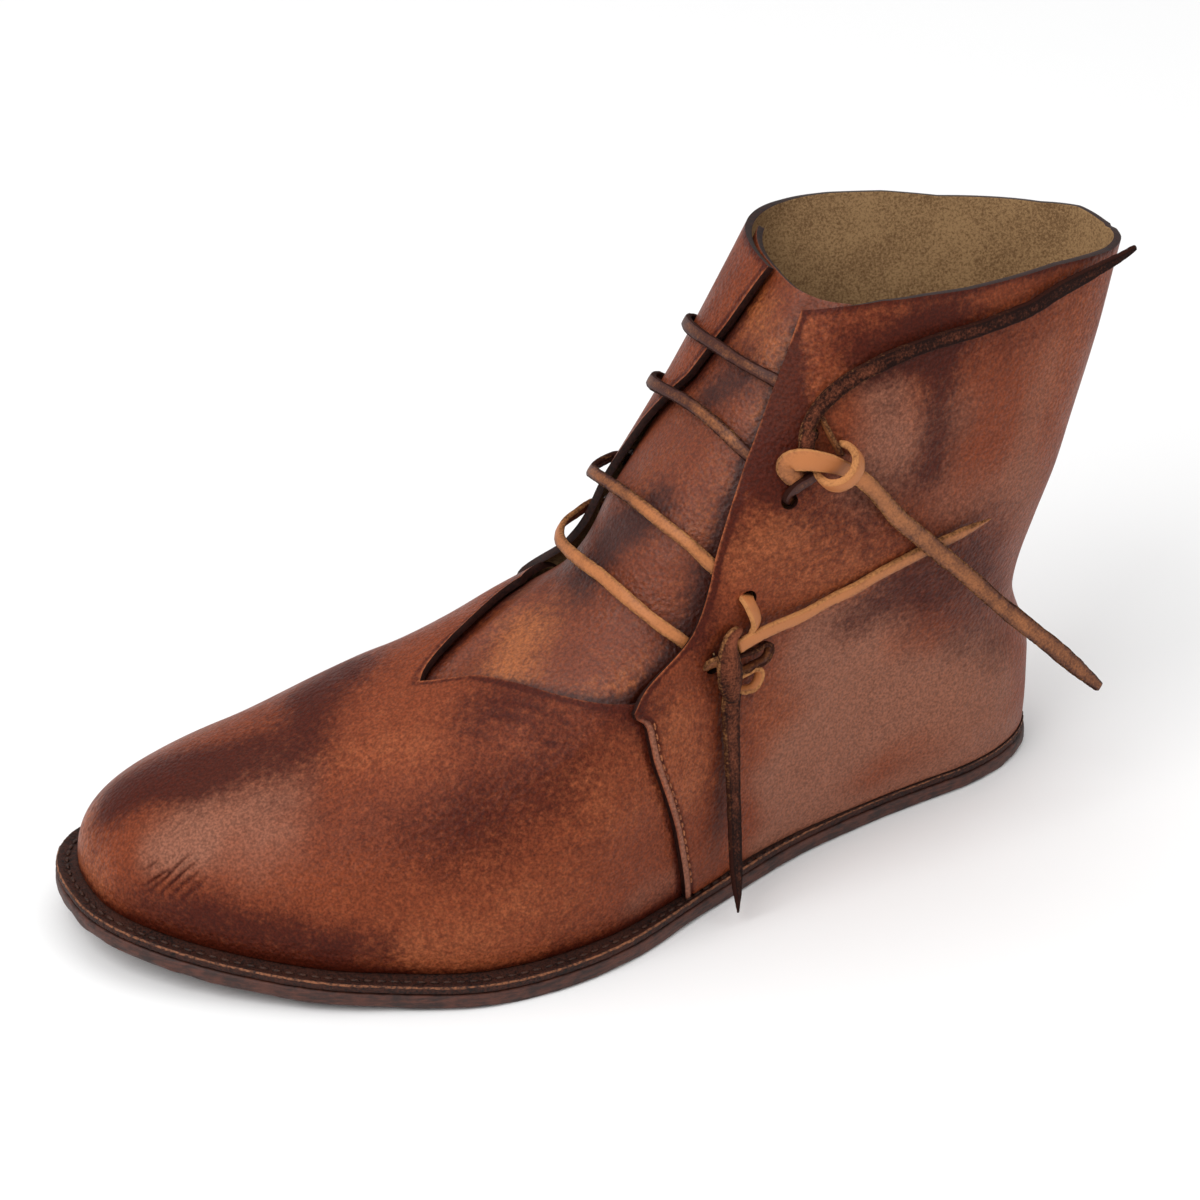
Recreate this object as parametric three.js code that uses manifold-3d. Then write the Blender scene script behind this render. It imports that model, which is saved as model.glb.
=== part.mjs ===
// A left ankle boot of plain leather, after a medieval pattern. All sizes are in millimetres.
// While it is being drawn, X runs from the heel to the toe, Y to the wearer's left and Z up from the floor.
import * as THREE from "three";
import { mergeVertices } from "three/addons/utils/BufferGeometryUtils.js";
import Module from "manifold-3d";

// Driving sizes
const footLength = 278.3;
const ballWidth = 100.9;
const collarHeight = 157.3;
const collarSlope = 0.086;
const collarLevelAt = 50;
const leather = 2.0;
const tongueLeather = 1.8;
const airGap = 0.3;

// Sole
const outsoleThickness = 4.0;
const weltThickness = 2.4;
const insoleThickness = 2.0;
const weltInset = 0.4;
const weltReach = 9.0;
const ledgeAtToe = 6.2;
const ledgeAtHeel = 0.8;
const weltBottom = outsoleThickness + airGap;
const weltTop = weltBottom + weltThickness;
const featherHeight = weltTop + airGap;

// Toe spring
const rockerStart = 0.676 * footLength;
const rockerLength = 0.348 * footLength;
const toeSpring = 9.6;

// Roundness of the last
const toeCap = 47.1;
const toeRound = 2.33;
const sideRound = 2.57;
const topRound = 2.31;
const heelRound = 36.3;
const shaftBackRound = 106.6;
const shaftFrontRound = 34.0;
const shaftMiddle = 6.8;
const featherTuck = 2.0;
const featherTuckHeight = 14;

// Half widths of the foot: along and across are shares of footLength and ballWidth
const footTable = [
  { along: 0.0, lateral: 0.279, medial: 0.308 },
  { along: 0.162, lateral: 0.296, medial: 0.306 },
  { along: 0.323, lateral: 0.344, medial: 0.283 },
  { along: 0.467, lateral: 0.428, medial: 0.3 },
  { along: 0.593, lateral: 0.515, medial: 0.385 },
  { along: 0.701, lateral: 0.542, medial: 0.478 },
  { along: 0.808, lateral: 0.482, medial: 0.463 },
  { along: 0.898, lateral: 0.393, medial: 0.426 },
  { along: 1.003, lateral: 0.294, medial: 0.378 },
];

// Middle line of the foot, aside as a share of ballWidth
const middleTable = [
  { along: 0.0, aside: -0.029 },
  { along: 0.323, aside: -0.004 },
  { along: 0.593, aside: 0.044 },
  { along: 0.808, aside: -0.042 },
  { along: 1.003, aside: -0.156 },
];

// Ridge from the collar's front to the toe, high as a share of collarHeight
const ridgeTable = [
  { along: 0.304, high: 1.055 },
  { along: 0.349, high: 0.945 },
  { along: 0.414, high: 0.795 },
  { along: 0.483, high: 0.65 },
  { along: 0.547, high: 0.516 },
  { along: 0.647, high: 0.452 },
  { along: 0.737, high: 0.381 },
  { along: 0.826, high: 0.304 },
  { along: 0.916, high: 0.252 },
  { along: 1.003, high: 0.226 },
];

// Back of the heel and shaft
const backTable = [
  { high: 0.0, along: 0.033 },
  { high: 0.191, along: 0.033 },
  { high: 0.35, along: 0.057 },
  { high: 0.496, along: 0.042 },
  { high: 0.636, along: 0.016 },
  { high: 0.795, along: -0.014 },
  { high: 0.954, along: -0.039 },
];

// Half widths of the shaft
const shaftTable = [
  { high: 0.35, lateral: 0.304, medial: 0.269 },
  { high: 0.496, lateral: 0.31, medial: 0.266 },
  { high: 0.636, lateral: 0.315, medial: 0.303 },
  { high: 0.795, lateral: 0.307, medial: 0.355 },
  { high: 0.954, lateral: 0.264, medial: 0.418 },
];

// Front edge of the quarter on each side: the side seam up to the throat, then the lacing edge.
// round is the share of the way from the back of the heel to the ridge.
const lateralEdge = [
  { high: 0.045, round: 0.636 },
  { high: 0.204, round: 0.654 },
  { high: 0.348, round: 0.672 },
  { high: 0.407, round: 0.675 },
  { high: 0.434, round: 0.697 },
  { high: 0.511, round: 0.741 },
  { high: 0.604, round: 0.771 },
  { high: 0.72, round: 0.819 },
  { high: 0.783, round: 0.844 },
  { high: 0.85, round: 0.863 },
  { high: 0.935, round: 0.883 },
  { high: 0.996, round: 0.903 },
];
const medialEdge = [
  { high: 0.045, round: 0.636 },
  { high: 0.204, round: 0.651 },
  { high: 0.348, round: 0.665 },
  { high: 0.42, round: 0.676 },
  { high: 0.47, round: 0.736 },
  { high: 0.528, round: 0.81 },
  { high: 0.637, round: 0.853 },
  { high: 0.742, round: 0.891 },
  { high: 0.837, round: 0.952 },
  { high: 0.924, round: 0.968 },
  { high: 1.018, round: 0.977 },
];

// Back edge of the vamp: turn is the share of the half turn over the foot, from the lateral feather
// to the medial one. The first and last rows are hidden under the quarters, the rest is the throat.
const vampEdge = [
  { turn: 0.0, along: 0.46 },
  { turn: 0.12, along: 0.475 },
  { turn: 0.24, along: 0.492 },
  { turn: 0.275, along: 0.521 },
  { turn: 0.322, along: 0.546 },
  { turn: 0.394, along: 0.6 },
  { turn: 0.464, along: 0.648 },
  { turn: 0.495, along: 0.689 },
  { turn: 0.54, along: 0.639 },
  { turn: 0.572, along: 0.591 },
  { turn: 0.607, along: 0.55 },
  { turn: 0.667, along: 0.525 },
  { turn: 0.76, along: 0.492 },
  { turn: 0.88, along: 0.475 },
  { turn: 1.0, along: 0.46 },
];
const vampStepsPerRow = [3, 3, 1, 1, 2, 3, 2, 2, 1, 1, 2, 3, 3, 3];

// Lap of the quarters over the vamp
const lapRise = 1.9;
const lapFade = 28;
const lapTop = 70;
const lapTopFade = 28;
const edgeLift = 0.4;
const poleLimit = 190;

// Tongue: side edges as turns, from its root under the vamp to its top at the collar
const tongueRoot = 0.737 * footLength;
const tongueDrop = 3.1;
const tongueBulge = 1.9;
const tongueTable = [
  { up: 0.0, lateral: 0.444, medial: 0.556 },
  { up: 0.12, lateral: 0.411, medial: 0.589 },
  { up: 0.21, lateral: 0.367, medial: 0.622 },
  { up: 0.305, lateral: 0.3, medial: 0.661 },
  { up: 0.39, lateral: 0.214, medial: 0.711 },
  { up: 0.5, lateral: 0.211, medial: 0.739 },
  { up: 0.6, lateral: 0.244, medial: 0.708 },
  { up: 0.7, lateral: 0.283, medial: 0.689 },
  { up: 0.82, lateral: 0.317, medial: 0.653 },
  { up: 1.0, lateral: 0.367, medial: 0.622 },
];
// Open part of the tongue between the leather edges
const openTable = [
  { up: 0.12, lateral: 0.489, medial: 0.52 },
  { up: 0.22, lateral: 0.456, medial: 0.55 },
  { up: 0.305, lateral: 0.383, medial: 0.578 },
  { up: 0.39, lateral: 0.289, medial: 0.617 },
  { up: 0.46, lateral: 0.278, medial: 0.667 },
  { up: 0.54, lateral: 0.294, medial: 0.625 },
  { up: 0.69, lateral: 0.35, medial: 0.6 },
  { up: 0.82, lateral: 0.389, medial: 0.548 },
  { up: 1.0, lateral: 0.439, medial: 0.52 },
];

// Thong: a flat strip of leather, narrower where it is pulled tight over the tongue
const thongWidth = 4.6;
const barWidth = 3.4;
const thongThickness = 1.5;
const thongEdge = 0.35;
const holeRadius = 2.3;
const holeSides = 12;

// Lace holes on the form: along and high as shares of footLength and collarHeight, and the side
const laceHoles = [
  { along: 0.3396, high: 0.8264, side: 1 },
  { along: 0.3651, high: 0.7222, side: 1 },
  { along: 0.4089, high: 0.562, side: 1 },
  { along: 0.4492, high: 0.4577, side: 1 },
  { along: 0.3467, high: 0.8646, side: -1 },
  { along: 0.3845, high: 0.7692, side: -1 },
  { along: 0.433, high: 0.6548, side: -1 },
  { along: 0.4599, high: 0.5849, side: -1 },
];

// Bars of the thongs over the tongue, from the near quarter's edge to the far quarter's holes:
// along as a share of footLength, the turn over the foot, and how far off the form
const laceBars = {
  lace_bar_1: [
    { along: 0.3575, turn: 0.42, off: -0.5 },
    { along: 0.3611, turn: 0.44, off: 0.4 },
    { along: 0.3669, turn: 0.479, off: 1.1 },
    { along: 0.3697, turn: 0.516, off: 1.5 },
    { along: 0.3694, turn: 0.55, off: 1.9 },
    { along: 0.3644, turn: 0.588, off: 2.2 },
    { along: 0.3554, turn: 0.622, off: 2.2 },
  ],
  lace_bar_2: [
    { along: 0.3931, turn: 0.389, off: -0.8 },
    { along: 0.3999, turn: 0.436, off: 0.4 },
    { along: 0.4035, turn: 0.48, off: 1.1 },
    { along: 0.4057, turn: 0.512, off: 1.5 },
    { along: 0.4068, turn: 0.552, off: 1.9 },
    { along: 0.4032, turn: 0.592, off: 2.6 },
    { along: 0.3953, turn: 0.625, off: 2.8 },
  ],
  lace_bar_3: [
    { along: 0.4416, turn: 0.321, off: -0.6 },
    { along: 0.4531, turn: 0.368, off: 0.5 },
    { along: 0.4639, turn: 0.423, off: 1.1 },
    { along: 0.4696, turn: 0.48, off: 1.5 },
    { along: 0.4725, turn: 0.535, off: 2.0 },
    { along: 0.47, turn: 0.585, off: 3.0 },
    { along: 0.4621, turn: 0.628, off: 3.9 },
    { along: 0.4463, turn: 0.658, off: 2.2 },
  ],
  lace_bar_4: [
    { along: 0.4793, turn: 0.28, off: -0.6 },
    { along: 0.4916, turn: 0.314, off: 0.5 },
    { along: 0.5066, turn: 0.385, off: 1.2 },
    { along: 0.5142, turn: 0.451, off: 1.5 },
    { along: 0.5174, turn: 0.51, off: 1.8 },
    { along: 0.5167, turn: 0.56, off: 2.3 },
    { along: 0.511, turn: 0.605, off: 3.2 },
    { along: 0.4987, turn: 0.642, off: 3.8 },
    { along: 0.4822, turn: 0.67, off: 2.6 },
  ],
};
const laceBarSteps = 14;

// Free ends of the thongs, as points that each strip's middle follows, in shares of footLength,
// ballWidth and collarHeight
const laceEnds = {
  lace_end_1: [
    [0.3464, 0.3588, 0.8328],
    [0.3273, 0.3429, 0.876],
    [0.304, 0.3449, 0.9046],
    [0.2706, 0.3479, 0.9256],
    [0.2339, 0.3449, 0.9364],
    [0.1639, 0.329, 0.9377],
    [0.0988, 0.3023, 0.9421],
    [0.0647, 0.2825, 0.9542],
    [0.0349, 0.2616, 0.9593],
    [0.0115, 0.2527, 0.9669],
    [-0.0277, 0.2359, 0.9822],
  ],
  lace_end_2: [
    [0.2932, 0.4103, 0.7368],
    [0.2551, 0.4054, 0.6472],
    [0.2285, 0.4004, 0.5963],
    [0.2016, 0.4034, 0.5442],
    [0.1743, 0.4093, 0.4921],
    [0.147, 0.4192, 0.4367],
    [0.1189, 0.4262, 0.3846],
    [0.0909, 0.4311, 0.3331],
    [0.0622, 0.4361, 0.2772],
    [0.0338, 0.441, 0.2212],
  ],
  lace_end_3: [
    [0.3945, 0.4202, 0.4946],
    [0.3521, 0.3944, 0.506],
    [0.3234, 0.3865, 0.5175],
    [0.2982, 0.3855, 0.5264],
    [0.2713, 0.3845, 0.5416],
    [0.2461, 0.3826, 0.5524],
    [0.2156, 0.3806, 0.5652],
    [0.1797, 0.3726, 0.5741],
    [0.1455, 0.3588, 0.5811],
  ],
  lace_end_4: [
    [0.4269, 0.4301, 0.4126],
    [0.4369, 0.444, 0.3369],
    [0.438, 0.4559, 0.2899],
    [0.4398, 0.4737, 0.2289],
    [0.4423, 0.4955, 0.1678],
    [0.4448, 0.5154, 0.117],
    [0.4463, 0.5302, 0.0826],
    [0.447, 0.5411, 0.0407],
    [0.4474, 0.5451, 0.0216],
  ],
};
const stepsPerEndPoint = 2;

// Knots: place in shares of footLength, ballWidth and collarHeight, and half sizes along the
// boot, out from it and up it in thong widths
const knots = {
  knot_upper: { at: [0.3255, 0.4113, 0.7756], half: [2.261, 0.739, 1.522], lean: -0.5 },
  knot_lower: { at: [0.419, 0.4301, 0.4781], half: [1.391, 0.739, 2.217], lean: -0.15 },
};
const knotAround = 12;
const knotDown = 8;

// Steps of the surfaces
const vampColumns = 20;
const quarterColumns = 40;
const quarterRows = 16;
const tongueColumns = 12;
const tongueRows = 22;
const soleStations = 30;
const soleAcross = 4;

const wasm = await Module();
wasm.setup();

const clamp = (t, low, high) => Math.min(Math.max(t, low), high);
const mix = (a, b, t) => a + (b - a) * t;
const ease = (t) => {
  const c = clamp(t, 0, 1);
  return c * c * (3 - 2 * c);
};

// Smooth curve through points, which keeps to the range between neighbours
function curveThrough(xs, ys) {
  const n = xs.length;
  const widths = [];
  const slopes = [];
  for (let i = 0; i < n - 1; i++) {
    widths.push(xs[i + 1] - xs[i]);
    slopes.push((ys[i + 1] - ys[i]) / widths[i]);
  }
  const bends = [slopes[0]];
  for (let i = 1; i < n - 1; i++) {
    const before = slopes[i - 1];
    const after = slopes[i];
    const heavy = 2 * widths[i] + widths[i - 1];
    const light = widths[i] + 2 * widths[i - 1];
    bends.push(before * after > 0 ? (heavy + light) / (heavy / before + light / after) : 0);
  }
  bends.push(slopes[n - 2]);
  return (x) => {
    if (x <= xs[0]) return ys[0] + bends[0] * (x - xs[0]);
    if (x >= xs[n - 1]) return ys[n - 1] + bends[n - 1] * (x - xs[n - 1]);
    let i = 0;
    while (x > xs[i + 1]) i++;
    const t = (x - xs[i]) / widths[i];
    const a = (1 + 2 * t) * (1 - t) * (1 - t);
    const b = t * (1 - t) * (1 - t);
    const c = t * t * (3 - 2 * t);
    const d = t * t * (t - 1);
    return a * ys[i] + b * widths[i] * bends[i] + c * ys[i + 1] + d * widths[i] * bends[i + 1];
  };
}

// Straight lines through points
function lineThrough(xs, ys) {
  return (x) => {
    let i = 0;
    while (i < xs.length - 2 && x > xs[i + 1]) i++;
    return mix(ys[i], ys[i + 1], (x - xs[i]) / (xs[i + 1] - xs[i]));
  };
}

// A table's column against another, each times its own size
function column(make, table, from, fromSize, to, toSize) {
  return make(
    table.map((row) => row[from] * fromSize),
    table.map((row) => row[to] * toSize),
  );
}

const lateralFoot = column(curveThrough, footTable, "along", footLength, "lateral", ballWidth);
const medialFoot = column(curveThrough, footTable, "along", footLength, "medial", ballWidth);
const footMiddle = column(curveThrough, middleTable, "along", footLength, "aside", ballWidth);
const backAlong = column(curveThrough, backTable, "high", collarHeight, "along", footLength);
const lateralShaft = column(curveThrough, shaftTable, "high", collarHeight, "lateral", ballWidth);
const medialShaft = column(curveThrough, shaftTable, "high", collarHeight, "medial", ballWidth);
const ridgeHigh = column(curveThrough, ridgeTable, "along", footLength, "high", collarHeight);
const ridgeAlong = column(
  curveThrough,
  [...ridgeTable].reverse(),
  "high",
  collarHeight,
  "along",
  footLength,
);
const lateralFront = column(lineThrough, lateralEdge, "high", collarHeight, "round", Math.PI);
const medialFront = column(lineThrough, medialEdge, "high", collarHeight, "round", Math.PI);
const tongueLateral = column(lineThrough, tongueTable, "up", 1, "lateral", 1);
const tongueMedial = column(lineThrough, tongueTable, "up", 1, "medial", 1);
const openLateral = column(lineThrough, openTable, "up", 1, "lateral", 1);
const openMedial = column(lineThrough, openTable, "up", 1, "medial", 1);

// Rise of the sole towards the toe
const rise = (x) => toeSpring * clamp((x - rockerStart) / rockerLength, 0, 1.2) ** 2;

const collarAt = (x) => collarHeight + collarSlope * (x - collarLevelAt);
const shaftShare = (x, z) => ease((z - 40) / 55) * ease((205 - x) / 60);
const middle = (x, z) => mix(footMiddle(x), shaftMiddle, shaftShare(x, z));

function halfWidth(x, z, side) {
  const foot = side > 0 ? lateralFoot(x) : medialFoot(x);
  const shaft = side > 0 ? lateralShaft(z) : medialShaft(z);
  const share = shaftShare(x, z);
  const tuck = featherTuck * clamp(1 - (z - featherHeight) / featherTuckHeight, 0, 1) ** 2;
  return mix(foot - tuck, shaft, share);
}

// What the toe, the back and the ridge take off the full width: 0 at the side, 1 on the outline
function taken(x, z) {
  const toe = Math.max((x - footLength + toeCap) / toeCap, 0);
  const round = mix(heelRound, shaftBackRound, ease((z - 50) / 80));
  const back = Math.max((backAlong(z) + round - x) / round, 0);
  const foot = Math.max((z - featherHeight) / (ridgeHigh(x) - featherHeight), 0);
  const front = ridgeAlong(z);
  const shaft = Math.max((x - front + shaftFrontRound) / shaftFrontRound, 0);
  const top = mix(foot, shaft, ease((190 - x) / 60));
  return toe ** toeRound + back ** 2 + top ** topRound;
}

// Point of the form at a distance along and a height above the feather's level
function formPoint(x, z, side) {
  const width = halfWidth(x, z, side) * Math.max(1 - taken(x, z), 0) ** (1 / sideRound);
  return new THREE.Vector3(x, middle(x, z) + side * width, z + rise(x));
}

// How far a point is outside the form: 0 on it
function outside(x, y, level) {
  const z = level - rise(x);
  const aside = y - middle(x, z);
  return (Math.abs(aside) / halfWidth(x, z, Math.sign(aside))) ** sideRound + taken(x, z) - 1;
}

// Direction straight out of the form, level at the feather
function outward(p) {
  const step = 0.05;
  const n = new THREE.Vector3(
    outside(p.x + step, p.y, p.z) - outside(p.x - step, p.y, p.z),
    outside(p.x, p.y + step, p.z) - outside(p.x, p.y - step, p.z),
    outside(p.x, p.y, p.z + step) - outside(p.x, p.y, p.z - step),
  ).normalize();
  n.z *= ease((p.z - rise(p.x) - featherHeight) / 20);
  return n.normalize();
}

const offset = (p, distance) => p.clone().addScaledVector(outward(p), distance);

// Point over the foot: a turn of 0 is the lateral feather, 0.5 the ridge and 1 the medial feather
function archPoint(x, turn) {
  const toe = clamp((x - footLength + toeCap) / toeCap, 0, 1);
  const full = ridgeHigh(x) - featherHeight;
  const high = full * (1 - toe ** toeRound) ** (1 / topRound);
  const z = featherHeight + high * Math.sin(Math.PI * turn);
  return formPoint(x, z, turn < 0.5 ? 1 : -1);
}

// One closed body from triangles given by corner points
function bodyOf(triangles) {
  const flat = [];
  for (const triangle of triangles) for (const p of triangle) flat.push(p.x, p.y, p.z);
  const loose = new THREE.BufferGeometry();
  loose.setAttribute("position", new THREE.Float32BufferAttribute(flat, 3));
  return solid(loose);
}

// A solid for cutting and joining, from a geometry's positions alone
function solid(geometry) {
  const bare = new THREE.BufferGeometry();
  const source = geometry.index ? geometry.toNonIndexed() : geometry;
  bare.setAttribute("position", source.getAttribute("position"));
  const merged = mergeVertices(bare, 1e-3);
  const kept = [];
  const index = merged.index.array;
  for (let i = 0; i < index.length; i += 3) {
    const [a, b, c] = index.slice(i, i + 3);
    if (a !== b && b !== c && c !== a) kept.push(a, b, c);
  }
  const turned = (list) => list.map((_, i) => list[i - (i % 3) + ((3 - (i % 3)) % 3)]);
  const make = (list) =>
    new wasm.Manifold(
      new wasm.Mesh({
        numProp: 3,
        vertProperties: new Float32Array(merged.attributes.position.array),
        triVerts: new Uint32Array(list),
      }),
    );
  const made = make(kept);
  return made.volume() < 0 ? make(turned(kept)) : made;
}

function geometryOf(body) {
  const mesh = body.getMesh();
  const geometry = new THREE.BufferGeometry();
  geometry.setAttribute("position", new THREE.BufferAttribute(mesh.vertProperties, 3));
  geometry.setIndex(new THREE.BufferAttribute(mesh.triVerts, 1));
  return geometry;
}

// Closed sheet between two grids of points with the same rows and columns
function sheet(outer, inner) {
  const triangles = [];
  const quad = (a, b, c, d) => triangles.push([a, b, c], [a, c, d]);
  const rows = outer.length;
  const columns = outer[0].length;
  for (let i = 0; i < rows - 1; i++) {
    for (let j = 0; j < columns - 1; j++) {
      quad(outer[i][j], outer[i + 1][j], outer[i + 1][j + 1], outer[i][j + 1]);
      quad(inner[i][j], inner[i][j + 1], inner[i + 1][j + 1], inner[i + 1][j]);
    }
    quad(outer[i][0], inner[i][0], inner[i + 1][0], outer[i + 1][0]);
    const last = columns - 1;
    quad(outer[i][last], outer[i + 1][last], inner[i + 1][last], inner[i][last]);
  }
  for (let j = 0; j < columns - 1; j++) {
    quad(outer[0][j], outer[0][j + 1], inner[0][j + 1], inner[0][j]);
    const last = rows - 1;
    quad(outer[last][j], inner[last][j], inner[last][j + 1], outer[last][j + 1]);
  }
  return bodyOf(triangles);
}

const grid = (rows, columns, point) =>
  Array.from({ length: rows }, (_, i) => Array.from({ length: columns }, (_, j) => point(i, j)));

// Vamp, from the feather over the foot and back to the throat
function vampSheet() {
  const turns = [vampEdge[0].turn];
  vampStepsPerRow.forEach((steps, row) => {
    for (let i = 1; i <= steps; i++) {
      turns.push(mix(vampEdge[row].turn, vampEdge[row + 1].turn, i / steps));
    }
  });
  const edge = column(lineThrough, vampEdge, "turn", 1, "along", footLength);
  const capColumns = 8;
  const capStart = footLength - toeCap;
  const along = (turn, j) => {
    const body = vampColumns - capColumns;
    if (j <= body) return mix(edge(turn), capStart, j / body);
    return capStart + toeCap * Math.sin((Math.PI / 2) * ((j - body) / capColumns));
  };
  const points = grid(turns.length, vampColumns + 1, (i, j) => {
    return archPoint(along(turns[i], j), turns[i]);
  });
  return sheet(
    points,
    points.map((row) => row.map((p) => offset(p, -leather))),
  );
}

// Distance along at an angle round from the heel's back to the ridge
function roundAlong(angle, z) {
  const back = backAlong(z);
  const pole = Math.min(ridgeAlong(z), poleLimit);
  return mix(back, pole, (1 - Math.cos(angle)) / 2);
}

// How far the quarter stands off the form, behind its front edge and up from the feather
function quarterRise(x, z, side) {
  const front = roundAlong(side > 0 ? lateralFront(z) : medialFront(z), z);
  const near = 1 - ease((front - x) / lapFade);
  const low = 1 - ease((z - lapTop) / lapTopFade);
  return near * mix(edgeLift, lapRise, low);
}

// Quarters, in one piece from the near front edge round the heel to the far front edge
function quarterSheet() {
  const place = (i, j) => {
    const up = i / quarterRows;
    const around = (2 * j) / quarterColumns - 1;
    const side = around < 0 ? 1 : -1;
    let z = mix(featherHeight, collarHeight, up);
    let x = 0;
    for (let pass = 0; pass < 4; pass++) {
      const front = side > 0 ? lateralFront(z) : medialFront(z);
      x = roundAlong(front * Math.abs(around), z);
      z = mix(featherHeight, collarAt(x), up);
    }
    const p = formPoint(x, z, side);
    const out = quarterRise(x, z, side);
    return [offset(p, out), offset(p, out - leather)];
  };
  const pairs = grid(quarterRows + 1, quarterColumns + 1, place);
  return sheet(
    pairs.map((row) => row.map((pair) => pair[0])),
    pairs.map((row) => row.map((pair) => pair[1])),
  );
}

// Round bar straight through the wall at a place on the form
function hole({ along, high, side }) {
  const p = formPoint(along * footLength, high * collarHeight, side);
  const bar = new THREE.CylinderGeometry(holeRadius, holeRadius, 6 * leather, holeSides);
  bar.applyQuaternion(
    new THREE.Quaternion().setFromUnitVectors(new THREE.Vector3(0, 1, 0), outward(p)),
  );
  bar.translate(p.x, p.y, p.z);
  return solid(bar);
}

// Distance along at which a turn reaches the collar's plane
function collarAlong(turn) {
  let x = ridgeAlong(collarHeight);
  for (let pass = 0; pass < 8; pass++) {
    const need = (collarAt(x) - featherHeight) / Math.sin(Math.PI * turn);
    x = ridgeAlong(featherHeight + need);
  }
  return x;
}

// How high the tongue's face stands below the form
function tongueFace(up, turn) {
  const low = openLateral(up);
  const high = openMedial(up);
  const across = clamp((turn - low) / (high - low), 0, 1);
  return -tongueDrop + tongueBulge * Math.sin(Math.PI * across) * ease((up - 0.15) / 0.35);
}

function tongueSheet() {
  const place = (i, j) => {
    const up = i / tongueRows;
    const turn = mix(tongueLateral(up), tongueMedial(up), j / tongueColumns);
    const x = mix(tongueRoot, collarAlong(turn), up);
    const p = archPoint(x, turn);
    const face = tongueFace(up, turn);
    return [offset(p, face), offset(p, face - tongueLeather)];
  };
  const pairs = grid(tongueRows + 1, tongueColumns + 1, place);
  return sheet(
    pairs.map((row) => row.map((pair) => pair[0])),
    pairs.map((row) => row.map((pair) => pair[1])),
  );
}

// Outline in plan at the feather, moved out by a distance that can change along the foot
function outline(moved) {
  const heel = backAlong(featherHeight);
  const sides = [1, -1].map((side) => {
    const points = [];
    for (let i = 0; i <= soleStations; i++) {
      const x = mix(heel, footLength, (1 - Math.cos((Math.PI * i) / soleStations)) / 2);
      points.push(formPoint(x, featherHeight, side));
    }
    return points;
  });
  return sides.map((points, k) =>
    points.map((p, i) => {
      const before = i > 0 ? points[i - 1] : sides[1 - k][1];
      const after = i < soleStations ? points[i + 1] : sides[1 - k][soleStations - 1];
      const way = k === 0 ? 1 : -1;
      const out = new THREE.Vector2(before.y - after.y, after.x - before.x).normalize();
      const reach = moved(p.x) * way;
      return new THREE.Vector2(p.x + out.x * reach, p.y + out.y * reach);
    }),
  );
}

const ledge = (x) => mix(ledgeAtHeel, ledgeAtToe, ease((x - 60) / 140));

// Plate with the sole's bend, between two levels
function plate(moved, low, high) {
  const [lateral, medial] = outline(moved);
  const level = (height) =>
    grid(soleStations + 1, soleAcross + 1, (i, j) => {
      const x = mix(lateral[i].x, medial[i].x, j / soleAcross);
      const y = mix(lateral[i].y, medial[i].y, j / soleAcross);
      return new THREE.Vector3(x, y, height + rise(x));
    });
  return sheet(level(high), level(low));
}

// Ring with the sole's bend, between two outlines and two levels
function ring(outer, inner, low, high) {
  const loop = (moved) => {
    const [lateral, medial] = outline(moved);
    return [...lateral, ...medial.slice(1, -1).reverse()];
  };
  const out = loop(outer);
  const within = loop(inner);
  const triangles = [];
  const corner = (p, height) => new THREE.Vector3(p.x, p.y, height + rise(p.x));
  out.forEach((p, i) => {
    const k = (i + 1) % out.length;
    const now = [corner(p, low), corner(p, high), corner(within[i], high), corner(within[i], low)];
    const next = [
      corner(out[k], low),
      corner(out[k], high),
      corner(within[k], high),
      corner(within[k], low),
    ];
    now.forEach((a, m) => {
      const n = (m + 1) % now.length;
      triangles.push([a, now[n], next[n]], [a, next[n], next[m]]);
    });
  });
  return bodyOf(triangles);
}

// Place given in shares of the driving sizes
const placeOf = ([along, aside, high]) =>
  new THREE.Vector3(along * footLength, aside * ballWidth, high * collarHeight);

// Path of a strip of leather, which keeps its flat side to the boot
class StripPath extends THREE.CatmullRomCurve3 {
  computeFrenetFrames(segments) {
    const tangents = [];
    const normals = [];
    const binormals = [];
    for (let i = 0; i <= segments; i++) {
      const tangent = this.getTangentAt(i / segments);
      const out = outward(this.getPointAt(i / segments));
      out.addScaledVector(tangent, -out.dot(tangent)).normalize();
      tangents.push(tangent);
      normals.push(out);
      binormals.push(new THREE.Vector3().crossVectors(tangent, out));
    }
    return { tangents, normals, binormals };
  }
}

function strip(points, steps, width) {
  const flat = thongThickness / 2;
  const wide = width / 2;
  const section = new THREE.Shape([
    new THREE.Vector2(flat, -wide + thongEdge),
    new THREE.Vector2(flat, wide - thongEdge),
    new THREE.Vector2(flat - thongEdge, wide),
    new THREE.Vector2(-flat + thongEdge, wide),
    new THREE.Vector2(-flat, wide - thongEdge),
    new THREE.Vector2(-flat, -wide + thongEdge),
    new THREE.Vector2(-flat + thongEdge, -wide),
    new THREE.Vector2(flat - thongEdge, -wide),
  ]);
  const made = new THREE.ExtrudeGeometry(section, {
    steps,
    bevelEnabled: false,
    extrudePath: new StripPath(points, false, "centripetal"),
  });
  return solid(made);
}

function knotBody({ at, half, lean }) {
  const ball = new THREE.SphereGeometry(thongWidth, knotAround, knotDown);
  ball.scale(...half);
  ball.rotateY(lean);
  ball.translate(...placeOf(at).toArray());
  return solid(ball);
}

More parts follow.
